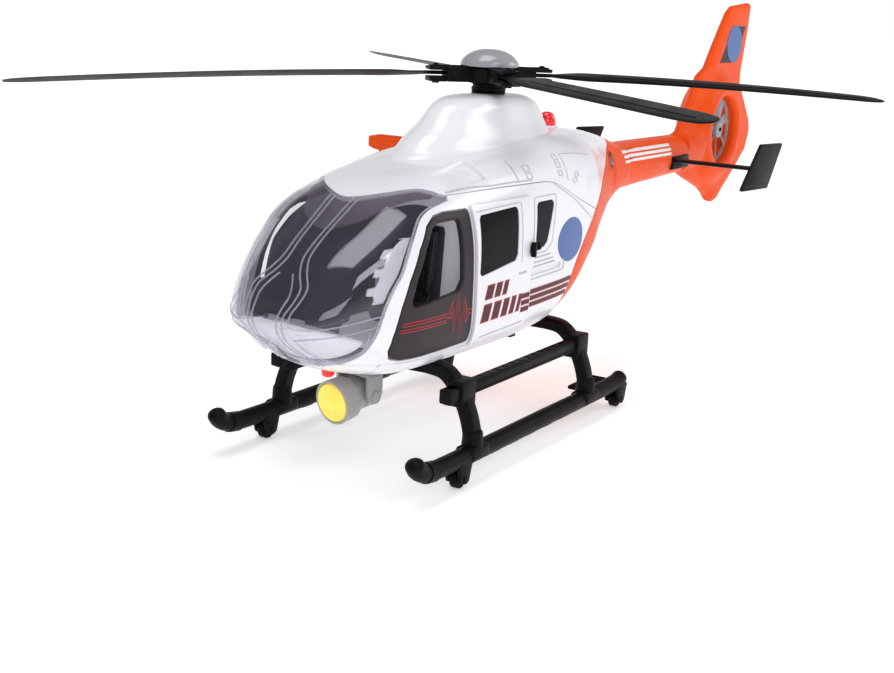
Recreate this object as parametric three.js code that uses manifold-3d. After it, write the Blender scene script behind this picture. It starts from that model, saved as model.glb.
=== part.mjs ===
// Toy rescue helicopter, 1:18-ish plastic toy with a four-blade rotor, a shrouded tail fan,
// opening doors, a rope winch, a swivelling spotlight and skids on small wheels.
// Millimetres, +X to the nose, +Y to the port side, +Z up, z = 0 where the wheels stand.
import * as THREE from 'three';
import { mergeVertices } from 'three/addons/utils/BufferGeometryUtils.js';
import Module from 'manifold-3d';

const wasm = await Module();
wasm.setup();

// ---------------------------------------------------------------- driving dimensions
const ROTOR_R = 245;            // blade tip radius
const MAST_X = 104;             // rotor mast position
const BLADE_Z = 186.1;          // blade plane at the hub
const BLADE_AZ = [-40, 50, 140, 230];
const BLADE_DROOP = [9.2, 1.1, 9.2, 1.1];
const WALL = 2.2;               // moulded wall thickness
const GAP = 0.3;                // gap between neighbouring mouldings
const WELD = 0.02;              // shortest edge kept after a cut
const SKID_Y = 58.3, SKID_Z = 14.2, SKID_R = 4.6;
const STRUT_X = [201.3, 81.8];
const WHEEL_X = [213.9, 42.4], WHEEL_R = 4.5;
const BAR_Y = 50.6, BAR_Z = 43.4;
const FAN_X = -217, FAN_Z = 139.6, DUCT_R = 24;
const AA_R = 7.2, AA_L = 50.5;  // AA cell
const GEAR_M = 0.8, GEAR_T = 30, PINION_T = 10;
const SLIDE = 46;               // sliding door travel
// fuselage stations: x, bottom z, top z, half width, widest z, upper and lower squareness
const SEC = [
  [287.5, 84.0, 87.0, 2.6, 85.0, 2.0, 2.0],
  [285.0, 79.0, 90.0, 15.0, 84.2, 2.05, 2.0],
  [280.0, 73.8, 95.5, 24.0, 82.9, 2.3, 1.9],
  [272.0, 67.8, 103.0, 31.5, 82.6, 2.6, 1.85],
  [260.0, 59.8, 114.0, 38.4, 81.7, 2.95, 2.0],
  [245.0, 53.9, 124.0, 44.0, 81.5, 3.4, 2.5],
  [228.0, 51.2, 134.0, 47.0, 82.0, 3.7, 3.0],
  [205.0, 50.8, 142.2, 48.0, 82.5, 3.5, 3.2],
  [175.0, 50.8, 148.0, 48.4, 83.6, 3.6, 3.4],
  [140.0, 50.8, 151.0, 48.4, 85.5, 4.0, 3.6],
  [105.0, 52.0, 153.0, 47.6, 88.8, 4.2, 3.6],
  [75.0, 58.3, 154.5, 45.0, 94.9, 3.9, 3.2],
  [45.0, 72.0, 155.0, 39.5, 103.2, 3.4, 2.7],
  [15.0, 86.5, 153.0, 29.6, 110.8, 2.9, 2.6],
  [-20.0, 100.5, 147.5, 19.0, 118.8, 2.4, 2.4],
  [-50.0, 110.5, 139.8, 14.0, 125.1, 2.05, 2.1],
];
// front edge of the white shell against the windshield, side view (x, z), bottom to top
const GLASS_EDGE = [[259.5, 50], [259.2, 62], [258.4, 70], [258.0, 75.2], [255.9, 82.2], [252.5, 91.3], [248.3, 98.6],
  [243.2, 104.7], [238.2, 112.5], [232.2, 120.2], [224.7, 126.9], [217.0, 130.3], [207, 132.4], [202.1, 133.2], [200, 136], [200, 160]];
// the roof's front tongue in plan (x, half width)
const TONGUE = [[190, 46], [201.5, 39.5], [203.0, 36], [204.9, 33.6], [210.3, 27.5], [219.8, 19.1], [226.5, 8.9], [228.6, 4], [229.2, 0]];
// parting line of the roof cowling, side view
const COWL_LINE = [[232, 131], [218, 133.2], [203, 135.4], [183.7, 135.6], [146.3, 135.6], [110.3, 134.2], [96.9, 129.9], [76.6, 122.0], [43.0, 112.0], [10, 103], [-60, 84]];
// rear edge of the white shells against the tail, side view
const TAIL_EDGE = [[-25.5, 160], [-24.6, 145.2], [-8.7, 139.9], [1.8, 136.0], [26.3, 123.8], [45.9, 112.6], [75.9, 89.9], [89.0, 71.5], [97.5, 52]];
const BELLY_Z = 62.4;
// front door outline and its window, side view
const DOOR = [[190.6, 64.8], [239.9, 63.9], [246.2, 65.6], [249.3, 70.6], [248.9, 77], [244.6, 90], [239.6, 101.2], [231.5, 114.5], [223.2, 123.8], [216.2, 127.8], [209, 128.9], [190.6, 128.9]];
const DOOR_WIN = [[199.5, 96.4], [203.2, 91.8], [236.5, 88.8], [238.4, 91.2], [234.4, 102], [227.6, 113.6], [219.6, 122.8], [213.5, 125], [199.5, 125]];
// sliding door (outside the shell), its window, and the doorway behind it
const SDOOR = [[137.6, 63.6], [189.0, 62.6], [190.0, 64], [190.0, 128.6], [188.6, 129.8], [137.6, 129.8]];
const SWIN = [[152.2, 102.4], [154.6, 99.8], [186.6, 96.4], [188.2, 98.2], [186.4, 123], [184.6, 124.8], [152.8, 126], [151.0, 124.2]];
const DOORWAY = [[146.5, 70], [184.5, 70], [184.5, 126], [146.5, 126]];
const RWIN = [[110.6, 123.6], [112.4, 125.6], [127.4, 125.6], [129.2, 124], [130.6, 104], [129.2, 102.4], [121.8, 102.2], [117.8, 104.6]];

// ---------------------------------------------------------------- small tools
const V3 = (x, y, z) => new THREE.Vector3(x, y, z);
function pchip(xs, ys) {
  const n = xs.length, h = [], d = [], m = new Array(n);
  for (let i = 0; i < n - 1; i++) { h.push(xs[i + 1] - xs[i]); d.push((ys[i + 1] - ys[i]) / h[i]); }
  const end = (h0, h1, d0, d1) => {
    let v = ((2 * h0 + h1) * d0 - h0 * d1) / (h0 + h1);
    if (Math.sign(v) !== Math.sign(d0)) v = 0; else if (Math.sign(d0) !== Math.sign(d1) && Math.abs(v) > 3 * Math.abs(d0)) v = 3 * d0;
    return v;
  };
  m[0] = end(h[0], h[1], d[0], d[1]); m[n - 1] = end(h[n - 2], h[n - 3], d[n - 2], d[n - 3]);
  for (let i = 1; i < n - 1; i++) {
    if (d[i - 1] * d[i] <= 0) m[i] = 0;
    else { const w1 = 2 * h[i] + h[i - 1], w2 = h[i] + 2 * h[i - 1]; m[i] = (w1 + w2) / (w1 / d[i - 1] + w2 / d[i]); }
  }
  return (x) => {
    x = Math.min(Math.max(x, xs[0]), xs[n - 1]);
    let i = 0; while (i < n - 2 && x > xs[i + 1]) i++;
    const t = (x - xs[i]) / h[i], t2 = t * t, t3 = t2 * t;
    return (2 * t3 - 3 * t2 + 1) * ys[i] + (t3 - 2 * t2 + t) * h[i] * m[i] + (-2 * t3 + 3 * t2) * ys[i + 1] + (t3 - t2) * h[i] * m[i + 1];
  };
}
const sx = SEC.map((r) => r[0]).reverse();
const [fzb, fzt, fw, fzc, fnt, fnb] = [1, 2, 3, 4, 5, 6].map((k) => pchip(sx, SEC.map((r) => r[k]).reverse()));
function ring(x, d, K) { // one fuselage section, moved inwards by d
  const zb = fzb(x) + d, zt = fzt(x) - d, w = fw(x) - d, zc = fzc(x), out = [];
  for (let k = 0; k < K; k++) {
    const t = (2 * Math.PI * k) / K, c = Math.cos(t), s = Math.sin(t), n = s >= 0 ? fnt(x) : fnb(x);
    const y = w * Math.sign(c) * Math.pow(Math.abs(c), 2 / n);
    const z = zc + (s >= 0 ? zt - zc : zc - zb) * Math.sign(s) * Math.pow(Math.abs(s), 2 / n);
    out.push(V3(x, y, z));
  }
  return out;
}
function halfWidth(x, z) {
  const zc = fzc(x), up = z >= zc, n = up ? fnt(x) : fnb(x), h = up ? fzt(x) - zc : zc - fzb(x);
  const a = 1 - Math.pow(Math.min(1, Math.abs(z - zc) / h), n);
  return fw(x) * Math.pow(Math.max(a, 0), 1 / n);
}
function loft(rings) { // closed body through equal rings, fan caps
  const K = rings[0].length, pos = [], idx = [];
  for (const r of rings) for (const p of r) pos.push(p.x, p.y, p.z);
  for (let i = 0; i < rings.length - 1; i++) for (let k = 0; k < K; k++) {
    const a = i * K + k, b = i * K + ((k + 1) % K), c = a + K, d = b + K;
    idx.push(a, b, c, b, d, c);
  }
  for (const [r, o, flip] of [[rings[0], 0, true], [rings[rings.length - 1], (rings.length - 1) * K, false]]) {
    const c = V3(0, 0, 0); for (const p of r) c.add(p); c.divideScalar(K);
    const ci = pos.length / 3; pos.push(c.x, c.y, c.z);
    for (let k = 0; k < K; k++) { const a = o + k, b = o + ((k + 1) % K); if (flip) idx.push(ci, b, a); else idx.push(ci, a, b); }
  }
  const g = new THREE.BufferGeometry();
  g.setAttribute('position', new THREE.Float32BufferAttribute(pos, 3)); g.setIndex(idx);
  return outward(g);
}
function outward(g) { // turn the faces out
  const p = g.attributes.position, ix = g.index.array; let v = 0;
  for (let i = 0; i < ix.length; i += 3) {
    const a = new THREE.Vector3().fromBufferAttribute(p, ix[i]), b = new THREE.Vector3().fromBufferAttribute(p, ix[i + 1]), c = new THREE.Vector3().fromBufferAttribute(p, ix[i + 2]);
    v += a.dot(b.cross(c));
  }
  if (v < 0) { const n = Array.from(ix); for (let i = 0; i < n.length; i += 3) { const t = n[i + 1]; n[i + 1] = n[i + 2]; n[i + 2] = t; } g.setIndex(n); }
  return g;
}
function clean(g) {
  g = g.clone(); for (const n of Object.keys(g.attributes)) if (n !== 'position') g.deleteAttribute(n);
  g.clearGroups && g.clearGroups();
  return mergeVertices(g, 1e-4);
}
function toM(g) {
  g = outward(clean(g));
  return new wasm.Manifold(new wasm.Mesh({ numProp: 3, vertProperties: new Float32Array(g.attributes.position.array), triVerts: new Uint32Array(g.index.array) }));
}
function fromM(m) { // back to a geometry, with hair-thin slivers left by the cuts welded shut
  const me = m.getMesh(), n = me.vertProperties.length / me.numProp, T = me.triVerts;
  const P = []; for (let i = 0; i < n; i++) P.push([me.vertProperties[i * me.numProp], me.vertProperties[i * me.numProp + 1], me.vertProperties[i * me.numProp + 2]]);
  const par = Array.from({ length: n }, (_, i) => i), find = (a) => { while (par[a] !== a) a = par[a]; return a; };
  const near = (a, b) => Math.hypot(P[a][0] - P[b][0], P[a][1] - P[b][1], P[a][2] - P[b][2]) < WELD;
  for (let i = 0; i < T.length; i += 3) for (let e = 0; e < 3; e++) {
    const a = find(T[i + e]), b = find(T[i + ((e + 1) % 3)]);
    if (a !== b && near(a, b)) par[Math.max(a, b)] = Math.min(a, b);
  }
  const seen = new Map(); let tris = [];
  for (let i = 0; i < T.length; i += 3) {
    const t = [find(T[i]), find(T[i + 1]), find(T[i + 2])];
    if (t[0] === t[1] || t[1] === t[2] || t[0] === t[2]) continue;
    tris.push(t);
  }
  const kill = new Set();
  tris.forEach((t, i) => {
    const key = [...t].sort((a, b) => a - b).join(','), o = seen.get(key);
    if (o !== undefined && !kill.has(o)) { kill.add(o); kill.add(i); seen.delete(key); } else seen.set(key, i);
  });
  tris = tris.filter((_, i) => !kill.has(i));
  const used = new Map(), pos = [], idx = [];
  for (const t of tris) for (const v of t) { if (!used.has(v)) { used.set(v, used.size); pos.push(...P[v]); } idx.push(used.get(v)); }
  const g = new THREE.BufferGeometry();
  g.setAttribute('position', new THREE.Float32BufferAttribute(pos, 3)); g.setIndex(idx);
  return g;
}
const asM = (a) => (a.isBufferGeometry ? toM(a) : a);
const sub = (a, ...b) => b.reduce((m, q) => m.subtract(asM(q)), asM(a));
const add = (a, ...b) => b.reduce((m, q) => m.add(asM(q)), asM(a));
const both = (a, b) => asM(a).intersect(asM(b));
const box = (x0, y0, z0, x1, y1, z1) => new THREE.BoxGeometry(x1 - x0, y1 - y0, z1 - z0).translate((x0 + x1) / 2, (y0 + y1) / 2, (z0 + z1) / 2);
const cylX = (r, x0, x1, y, z, n = 20, r2 = r) => new THREE.CylinderGeometry(r2, r, x1 - x0, n).rotateZ(-Math.PI / 2).translate((x0 + x1) / 2, y, z);
const cylY = (r, y0, y1, x, z, n = 20) => new THREE.CylinderGeometry(r, r, y1 - y0, n).translate(x, (y0 + y1) / 2, z);
const cylZ = (r, z0, z1, x, y, n = 20, r2 = r) => new THREE.CylinderGeometry(r2, r, z1 - z0, n).rotateX(Math.PI / 2).translate(x, y, (z0 + z1) / 2);
function sideExtrude(pts, y0, y1) { // polygon in (x, z) through y0..y1
  const s = new THREE.Shape(pts.map((p) => new THREE.Vector2(p[0], p[1])));
  return new THREE.ExtrudeGeometry(s, { depth: y1 - y0, bevelEnabled: false }).rotateX(Math.PI / 2).translate(0, y1, 0);
}
function planExtrude(pts, z0, z1) { // polygon in (x, y) through z0..z1
  const s = new THREE.Shape(pts.map((p) => new THREE.Vector2(p[0], p[1])));
  return new THREE.ExtrudeGeometry(s, { depth: z1 - z0, bevelEnabled: false }).translate(0, 0, z0);
}
function grow(pts, d) { // offset a simple polygon outwards by d
  let A = 0; const n = pts.length;
  for (let i = 0; i < n; i++) { const p = pts[i], q = pts[(i + 1) % n]; A += p[0] * q[1] - q[0] * p[1]; }
  const s = A > 0 ? 1 : -1;
  return pts.map((p, i) => {
    const a = pts[(i + n - 1) % n], b = pts[(i + 1) % n];
    let e1 = [p[0] - a[0], p[1] - a[1]], e2 = [b[0] - p[0], b[1] - p[1]];
    const l1 = Math.hypot(...e1), l2 = Math.hypot(...e2); e1 = e1.map((v) => v / l1); e2 = e2.map((v) => v / l2);
    const n1 = [s * e1[1], -s * e1[0]], n2 = [s * e2[1], -s * e2[0]], k = d / Math.max(0.35, 1 + n1[0] * n2[0] + n1[1] * n2[1]);
    return [p[0] + (n1[0] + n2[0]) * k, p[1] + (n1[1] + n2[1]) * k];
  });
}
function tube(path, section, steps) { // sweep a closed section along a curve
  const s = new THREE.Shape(section.map((p) => new THREE.Vector2(p[0], p[1])));
  return new THREE.ExtrudeGeometry(s, { steps, extrudePath: path, bevelEnabled: false });
}
const oval = (a, b, n) => Array.from({ length: n }, (_, i) => [a * Math.cos((2 * Math.PI * i) / n), b * Math.sin((2 * Math.PI * i) / n)]);
function gear(T, m, z0, z1, cx, cy, phase) {
  const r = (T * m) / 2, pts = [];
  for (let i = 0; i < T; i++) for (const [f, q] of [[-0.30, r - 1.2 * m], [-0.13, r + 0.85 * m], [0.13, r + 0.85 * m], [0.30, r - 1.2 * m]]) {
    const a = ((i + f * 0.86) / T) * 2 * Math.PI + phase; pts.push([cx + q * Math.cos(a), cy + q * Math.sin(a)]);
  }
  return planExtrude(pts, z0, z1);
}
const mirrorY = (g) => { const h = g.clone(); h.scale(1, -1, 1); return outward(h.index ? h : clean(h)); };

// ---------------------------------------------------------------- fuselage solids
const K = 24;
const XS = [287.5, 286.2, 284, 280, 275, 268, 260, 250, 240, 228, 214, 200, 180, 157, 135, 115, 95, 75, 55, 35, 15, -10, -35, -50];
const hull = (d, xs = XS, k = K) => loft(xs.map((x) => ring(x, d, k)));
const XI = [284.4, 280, 272, 260, 245, 228, 205, 175, 140, 105, 75, 45, 15, -20, -47];
const OUT = toM(hull(0));
const INN = toM(hull(WALL, [...XI, -49.8], 18));
const ING = toM(hull(1.7, [285.0, ...XI, -49.8], 20));

const wedge = (line, up, y = 80) => sideExtrude([...line, ...(up ? [[line[line.length - 1][0], 260], [line[0][0], 260]] : [[line[line.length - 1][0], -60], [line[0][0], -60]])], -y, y);
const glassSide = sideExtrude([...GLASS_EDGE, [330, 160], [330, 50]], -70, 70);
const tongueM = planExtrude([...TONGUE, ...TONGUE.slice(0, -1).reverse().map((p) => [p[0], -p[1]])], 118, 180);
const GLASS_ZONE = sub(glassSide, tongueM);
const TONGUE_TIP = both(tongueM, box(202.6, -60, 100, 260, 60, 180));
const glassSideS = sideExtrude([...GLASS_EDGE.map((p) => [p[0] + 0.34, p[1] + (p[1] > 118 && p[1] < 135 ? 0.3 : 0)]), [330, 160], [330, 50]], -70, 70);
const tongueL = planExtrude(grow([...TONGUE, ...TONGUE.slice(0, -1).reverse().map((p) => [p[0], -p[1]])], 0.34), 118, 180);
const GLASS_FIT = sub(glassSideS, tongueL);
const COWL_ZONE = toM(wedge([[240, 130.2], ...COWL_LINE.slice(1)], true));
const COWL_FIT = toM(wedge([[240, 130.5], ...COWL_LINE.slice(1).map((p) => [p[0], p[1] + GAP])], true));
const TAIL_ZONE = toM(sideExtrude([...TAIL_EDGE, [97.5, 20], [-330, 20], [-330, 160]], -80, 80));
const TAIL_FIT = toM(sideExtrude([...TAIL_EDGE.map((p) => [p[0] - 0.3, p[1] - 0.12]), [97, 20], [-330, 20], [-330, 160]], -80, 80));
const BELLY_ZONE = toM(box(70, -60, 30, 246.6, 60, BELLY_Z));
const BELLY_FIT = toM(box(60, -60, 30, 246.3, 60, BELLY_Z - GAP));
const SKIN = sub(OUT, INN);
const side = (g, s) => (s > 0 ? g : mirrorY(g));
const S2 = [1, -1], NAME = { 1: 'left', '-1': 'right' };

// landing gear arches, wanted by the belly as well
function archGeo(x, sx2, sz) {
  const P = [[-58.3, 12.2], [-58.1, 20], [-56.4, 28.5], [-53.6, 36], [-50.2, 42.2], [-46.6, 47.2], [-41.5, 51.2], [-35, 52.4], [-18, 52.4], [0, 52.4]];
  const pts = [...P, ...P.slice(0, -1).reverse().map((p) => [-p[0], p[1]])].map((p) => V3(x, p[0], p[1]));
  const c = new THREE.CatmullRomCurve3(pts, false, 'centripetal');
  return tube(c, oval(sz, sx2, 8), 18);
}
const ARCH = STRUT_X.map((x) => toM(archGeo(x, 4.3, 3.5)));
const ARCH_C = STRUT_X.map((x) => toM(archGeo(x, 4.75, 3.95)));

const parts = new Map();
const mats = {
  white: ['#eceef4', 0.28], orange: ['#f0591e', 0.3], black: ['#262429', 0.45], darkgrey: ['#403c40', 0.45], glass: ['#8d8798', 0.08],
  navy: ['#1a1a2c', 0.4], seat: ['#17171b', 0.6], lightgrey: ['#c9cbd2', 0.5], pane: ['#151318', 0.12], dome: ['#c3c7ca', 0.25], grey: ['#8e8b88', 0.45],
  yellow: ['#ffd94a', 0.15], red: ['#e0202c', 0.12], steel: ['#b8babd', 0.3], brass: ['#c9a45a', 0.3], pcb: ['#1f6b3d', 0.5], cell: ['#3a4046', 0.35], cord: ['#1b1a1c', 0.7], redhook: ['#8e1f22', 0.45],
};
function put(name, solid, mat) {
  const g = solid.isBufferGeometry ? outward(clean(solid)) : fromM(solid);
  const [color, roughness] = mats[mat];
  const m = new THREE.Mesh(g, new THREE.MeshStandardMaterial({ color, roughness, metalness: mat === 'steel' || mat === 'brass' ? 0.9 : 0 }));
  if (mat === 'glass') { m.material.transparent = true; m.material.opacity = 0.35; }
  m.name = name; parts.set(name, m);
}

// ---------------------------------------------------------------- windshield
put('windshield', both(sub(OUT, ING), GLASS_FIT), 'glass');

// ---------------------------------------------------------------- cabin shell, doors and windows
const doorHoles = [], skins = {};
for (const s of S2) {
  const y0 = s > 0 ? 30 : -70, y1 = s > 0 ? 70 : -30;
  doorHoles.push(sideExtrude(grow(DOOR, 0.2), y0, y1), sideExtrude(DOORWAY, y0, y1), sideExtrude(RWIN, y0, y1));
  doorHoles.push(s > 0 ? box(100, 30, 88.6, 148, 70, 91.4) : box(100, -70, 88.6, 148, -30, 91.4)); // guide slot
}
let shell = sub(SKIN, GLASS_ZONE, COWL_ZONE, TONGUE_TIP, TAIL_ZONE, BELLY_ZONE, box(202.2, -37.1, 132.0, 230, 37.1, 140), ...doorHoles);
put('cabin_shell', shell, 'white');

const OUT_D1 = toM(hull(-0.35, XS.filter((x) => x <= 228 && x >= 75)));
const OUT_D2 = toM(hull(-2.0, XS.filter((x) => x <= 228 && x >= 75)));
for (const s of S2) {
  const y0 = s > 0 ? 30 : -70, y1 = s > 0 ? 70 : -30;
  // front door: a panel flush with the shell, open window, hinge lugs at its front edge
  let d = both(sub(OUT, toM(hull(2.6, [...XI, -49.8], 20))), sideExtrude(grow(DOOR, -0.35), y0, y1));
  d = sub(d, sideExtrude(DOOR_WIN, y0, y1));
  put('front_door_' + NAME[s], d, 'darkgrey');
  // sliding door: a panel just outside the shell, running back and a little outwards on a guide shoe in the slot
  let q = both(sub(OUT_D2, OUT_D1), sideExtrude(SDOOR, y0, y1));
  q = sub(q, sideExtrude(grow(SWIN, 0.3), y0, y1));
  const shoe = add(box(147.6, 40.4, 89.2, 151.6, 49.4, 90.8), box(146.8, 38.6, 86.2, 152.4, 40.6, 93.8));
  q = add(q, side(fromM(shoe), s));
  put('slide_door_' + NAME[s], q, 'white');
  put('slide_window_' + NAME[s], both(sub(toM(hull(-1.6, XS.filter((x) => x <= 228 && x >= 75))), OUT_D1), sideExtrude(SWIN, y0, y1)), 'pane');
  put('rear_window_' + NAME[s], both(sub(toM(hull(0.1)), toM(hull(1.9, [...XI, -49.8], 20))), sideExtrude(grow(RWIN, -0.3), y0, y1)), 'pane');
  // door handle: a short upright grip at the door's rear edge with a thumb flag
  const h = add(box(138.4, 50.9, 99.8, 140.9, 53.4, 107.4), box(132.4, 50.9, 102.6, 138.6, 52.6, 106.8));
  put('door_handle_' + NAME[s], side(fromM(h), s), 'black');
}

// ---------------------------------------------------------------- roof cowling with the mast fairing
const FAIR = [ // z, x rear, x front, half width
  [149, 46.5, 180, 21.5], [156, 49.6, 173, 19.5], [160, 52.5, 166.5, 17.8], [165, 56, 158.4, 16.4], [170, 61.5, 152.5, 15.2], [173.2, 68, 147, 13.6], [175.4, 78, 139.5, 11.0], [176.2, 90, 130, 7.0]];
function fairRing(z, x0, x1, w, n = 24) {
  const out = []; const cx = (x0 + x1) / 2, a = (x1 - x0) / 2;
  for (let k = 0; k < n; k++) { const t = (2 * Math.PI * k) / n, c = Math.cos(t), s = Math.sin(t); out.push(V3(cx + a * Math.sign(c) * Math.pow(Math.abs(c), 0.72), w * Math.sign(s) * Math.pow(Math.abs(s), 0.72), z)); }
  return out;
}
const FAIR_OUT = toM(loft(FAIR.map((r) => fairRing(...r, 20))));
const FAIR_IN = toM(loft([[144, 49.5, 177, 18.6], ...FAIR.slice(0, -1).map(([z, a, b, w]) => [z - 1.0, a + 2.8, b - 2.8, w - 2.3])].map((r) => fairRing(...r, 16))));
const cowlOuter = add(both(OUT, add(COWL_FIT, TONGUE_TIP)), both(FAIR_OUT, box(0, -40, 149.05, 230, 40, 200)));
let cowl = sub(cowlOuter, INN, FAIR_IN, TAIL_ZONE, sub(GLASS_ZONE, FAIR_OUT));
cowl = both(cowl, add(COWL_FIT, TONGUE_TIP));
cowl = sub(cowl, cylZ(6.3, 150, 190, MAST_X, 0, 20), cylZ(4.1, 148, 160, 36.3, 0, 16));
// seat for the winch housing on the starboard shoulder
const frontExtrude = (pts, x0, x1) => new THREE.ExtrudeGeometry(new THREE.Shape(pts.map((p) => new THREE.Vector2(p[0], p[1]))), { depth: x1 - x0, bevelEnabled: false })
  .applyMatrix4(new THREE.Matrix4().set(0, 0, 1, x0, 1, 0, 0, 0, 0, 1, 0, 0, 0, 0, 0, 1)); // polygon in (y, z) through x0..x1
const WB = { x0: 105.4, x1: 114.6, cy: -64.7, dy: -62.0, dz: 144.8 };
const WARM = [[-30.4, 140.6], [-30.4, 148.4], [-68.6, 148.4], [-69.5, 147.6], [-69.5, 142.6], [-66.5, 141.4], [-54.6, 139.4], [-44, 140.0]];
cowl = sub(cowl, both(frontExtrude(grow(WARM, 0.3), WB.x0 - 0.3, WB.x1 + 0.3), box(80, -60, 120, 140, -30, 160)));
put('roof_cowling', cowl, 'white');

// ---------------------------------------------------------------- belly pan with the battery bay
const BAT = { x0: 122, x1: 180, y: 19.2, z1: 69.2 };
let belly = both(sub(OUT, INN, TAIL_ZONE), BELLY_FIT);
const bellySolid = both(OUT, BELLY_FIT);
const channels = STRUT_X.map((x) => both(box(x - 6.6, -43, 46, x + 6.6, 43, 58.2), bellySolid));
belly = add(belly, channels[0], box(BAT.x0 - 2, -BAT.y - 2, 52, BAT.x1 + 2, BAT.y + 2, BAT.z1), box(BAT.x0 - 5, -BAT.y - 5, 52, 189, BAT.y + 5, 54.6), cylZ(3.4, 52, 60, 185, 0, 14));
belly = sub(belly, box(BAT.x0, -BAT.y, 40, BAT.x1, BAT.y, BAT.z1 - 1.6), box(BAT.x0 - 4.3, -BAT.y - 4.3, 40, 188.3, BAT.y + 4.3, 52.75), cylZ(1.45, 50, 58.6, 185, 0, 12));
belly = sub(belly, ARCH_C[0], cylZ(2.3, 45, 60, 214, 0, 16), cylZ(3.4, 45, 60, 239.5, 0, 16), box(109.6, 24.6, 40, 119.4, 29.4, 60));
put('belly_pan', belly, 'white');
put('battery_cover', sub(box(BAT.x0 - 4, -BAT.y - 4, 50.6, 188, BAT.y + 4, 52.4), cylZ(1.45, 50, 53, 185, 0, 12), cylZ(2.9, 50, 51.6, 185, 0, 12)), 'white');
put('battery_cover_screw', add(cylZ(1.15, 51.0, 58, 185, 0, 12), cylZ(2.5, 50.65, 51.3, 185, 0, 16)), 'steel');
for (const [i, y] of [[1, -9.0], [2, 9.0]]) {
  const x0 = 125.7, f = i === 1 ? 1 : -1, c = x0 + AA_L / 2;
  put('battery_' + i, add(cylX(AA_R, c - 25.2, c + 24.0, y, 60.2, 20), f > 0 ? cylX(2.7, c + 23.8, c + 25.2, y, 60.2, 12) : cylX(2.7, c - 26.6, c - 25.0, y, 60.2, 12)), 'cell');
}
put('circuit_board', box(222, -17, 58.6, 244, 17, 60.2), 'pcb');
put('speaker', add(cylZ(11, 57.0, 59.0, 108.6, 0, 18), cylZ(7, 58.8, 63.2, 108.6, 0, 14)), 'steel');
put('power_switch', add(box(111.8, 25.1, 49.8, 116.8, 28.9, 57.2), box(110.0, 24.0, 57.2, 118.6, 30.0, 58.4)), 'black');

// ---------------------------------------------------------------- cabin interior
const INNC = toM(hull(WALL + 1.3, XI, 18));
const floor = both(INNC, box(101, -60, 70.4, 252, 60, 72.4));
const wall1 = both(INNC, box(187.2, -60, 70.4, 189.0, 60, 131.5));
const wall2 = both(INNC, box(101, -40.5, 70.4, 102.8, 40.5, 124));
put('cabin_tub', add(sub(floor, box(90, 40.5, 60, 103.2, 60, 80), box(90, -60, 60, 103.2, -40.5, 80)), wall1, wall2), 'lightgrey');
const dash = sideExtrude([[236, 72.8], [250, 72.8], [262, 77], [268.5, 83], [268, 89], [262, 95.5], [253, 100.5], [247, 101.5], [243.5, 99], [246, 92], [244, 84], [238.5, 76]], -34, 34);
put('instrument_panel', both(toM(hull(7.5, XI.slice(2), 18)), dash), 'navy');
const seatP = [[193, 72.8], [214.5, 72.8], [217, 77], [221.5, 82.5], [220.5, 86.6], [205.5, 84.6], [203, 88], [198.5, 116], [196.8, 119.4], [192.8, 119], [191.6, 116], [194, 84], [191.2, 75]];
let seats = add(sideExtrude(seatP, 6, 32), sideExtrude(seatP, -32, -6), box(194, -7, 72.8, 213, 7, 76.5));
put('cockpit_seats', seats, 'seat');

// ---------------------------------------------------------------- tail: two halves, fin and fan shroud
const FIN = [[-152, 128], [-157, 138.5], [-176, 163], [-187.5, 179.5], [-200.5, 184.9], [-213.5, 201.5], [-233.5, 223.5], [-240, 227.2], [-274.5, 230.4], [-272, 206.7], [-264.6, 178.6], [-264.6, 172.4], [-274.5, 162.4], [-289.6, 145.6], [-293.05, 137.5], [-292.6, 131], [-286.4, 118.4], [-273.6, 109.5], [-256.3, 98.4], [-243.6, 90.8], [-236.5, 85.6], [-230.4, 84.2], [-224, 85.8], [-218, 90.6], [-205, 97.2], [-176.7, 106.4], [-154.4, 114.6]];
function plate(outline, t) { return sideExtrude(outline, -t, t); }
// shroud: a thick disc round the duct; fin: a thinner plate through it
const lens = add(new THREE.CylinderGeometry(47, 47, 8.4, 24), new THREE.CylinderGeometry(30.5, 47, 8.9, 24).translate(0, 8.6, 0), new THREE.CylinderGeometry(47, 30.5, 8.9, 24).translate(0, -8.6, 0));
const lensM = lens.translate([FAN_X, 0, FAN_Z]);
const bigPlate = toM(plate(FIN, 13.2));
const finPlate = toM(plate(FIN, 5.0));
// neck between boom and shroud
const neck = loft([[-140, 13.0, 126, 13.0], [-165, 12.7, 126.4, 12.6], [-186, 12.4, 131, 19], [-199, 11.5, 134, 22]].map(([x, w, z, h]) => Array.from({ length: 16 }, (_, k) => { const t = (2 * Math.PI * k) / 16; return V3(x, w * Math.cos(t), z + h * Math.sin(t)); })));
const tailFin = both(add(both(lensM, bigPlate), finPlate, both(toM(neck), add(bigPlate, box(-152, -20, 100, -139, 20, 150)))), box(-400, -60, 60, 0, 60, 260));
const duct = cylY(DUCT_R, -40, 40, FAN_X, FAN_Z, 28);
const BOOM = [[-44, 14.2, 125.2, 14.4], [-50, 14.0, 125.15, 14.6], [-80, 13.7, 125.6, 14.0], [-120, 13.2, 125.9, 13.3], [-162, 12.8, 126.1, 12.6]];
const boomL = (d, rows = BOOM) => loft(rows.map(([x, w, z, h]) => Array.from({ length: 16 }, (_, k) => { const t = (2 * Math.PI * k) / 16; return V3(x, (w - d) * Math.cos(t), z + (h - d) * Math.sin(t)); })));
const cone0 = both(OUT, TAIL_FIT);
let tail = add(cone0, boomL(0), tailFin);
const finIn = toM(sideExtrude(grow(FIN, -2.6), -2.9, 2.9));
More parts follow.
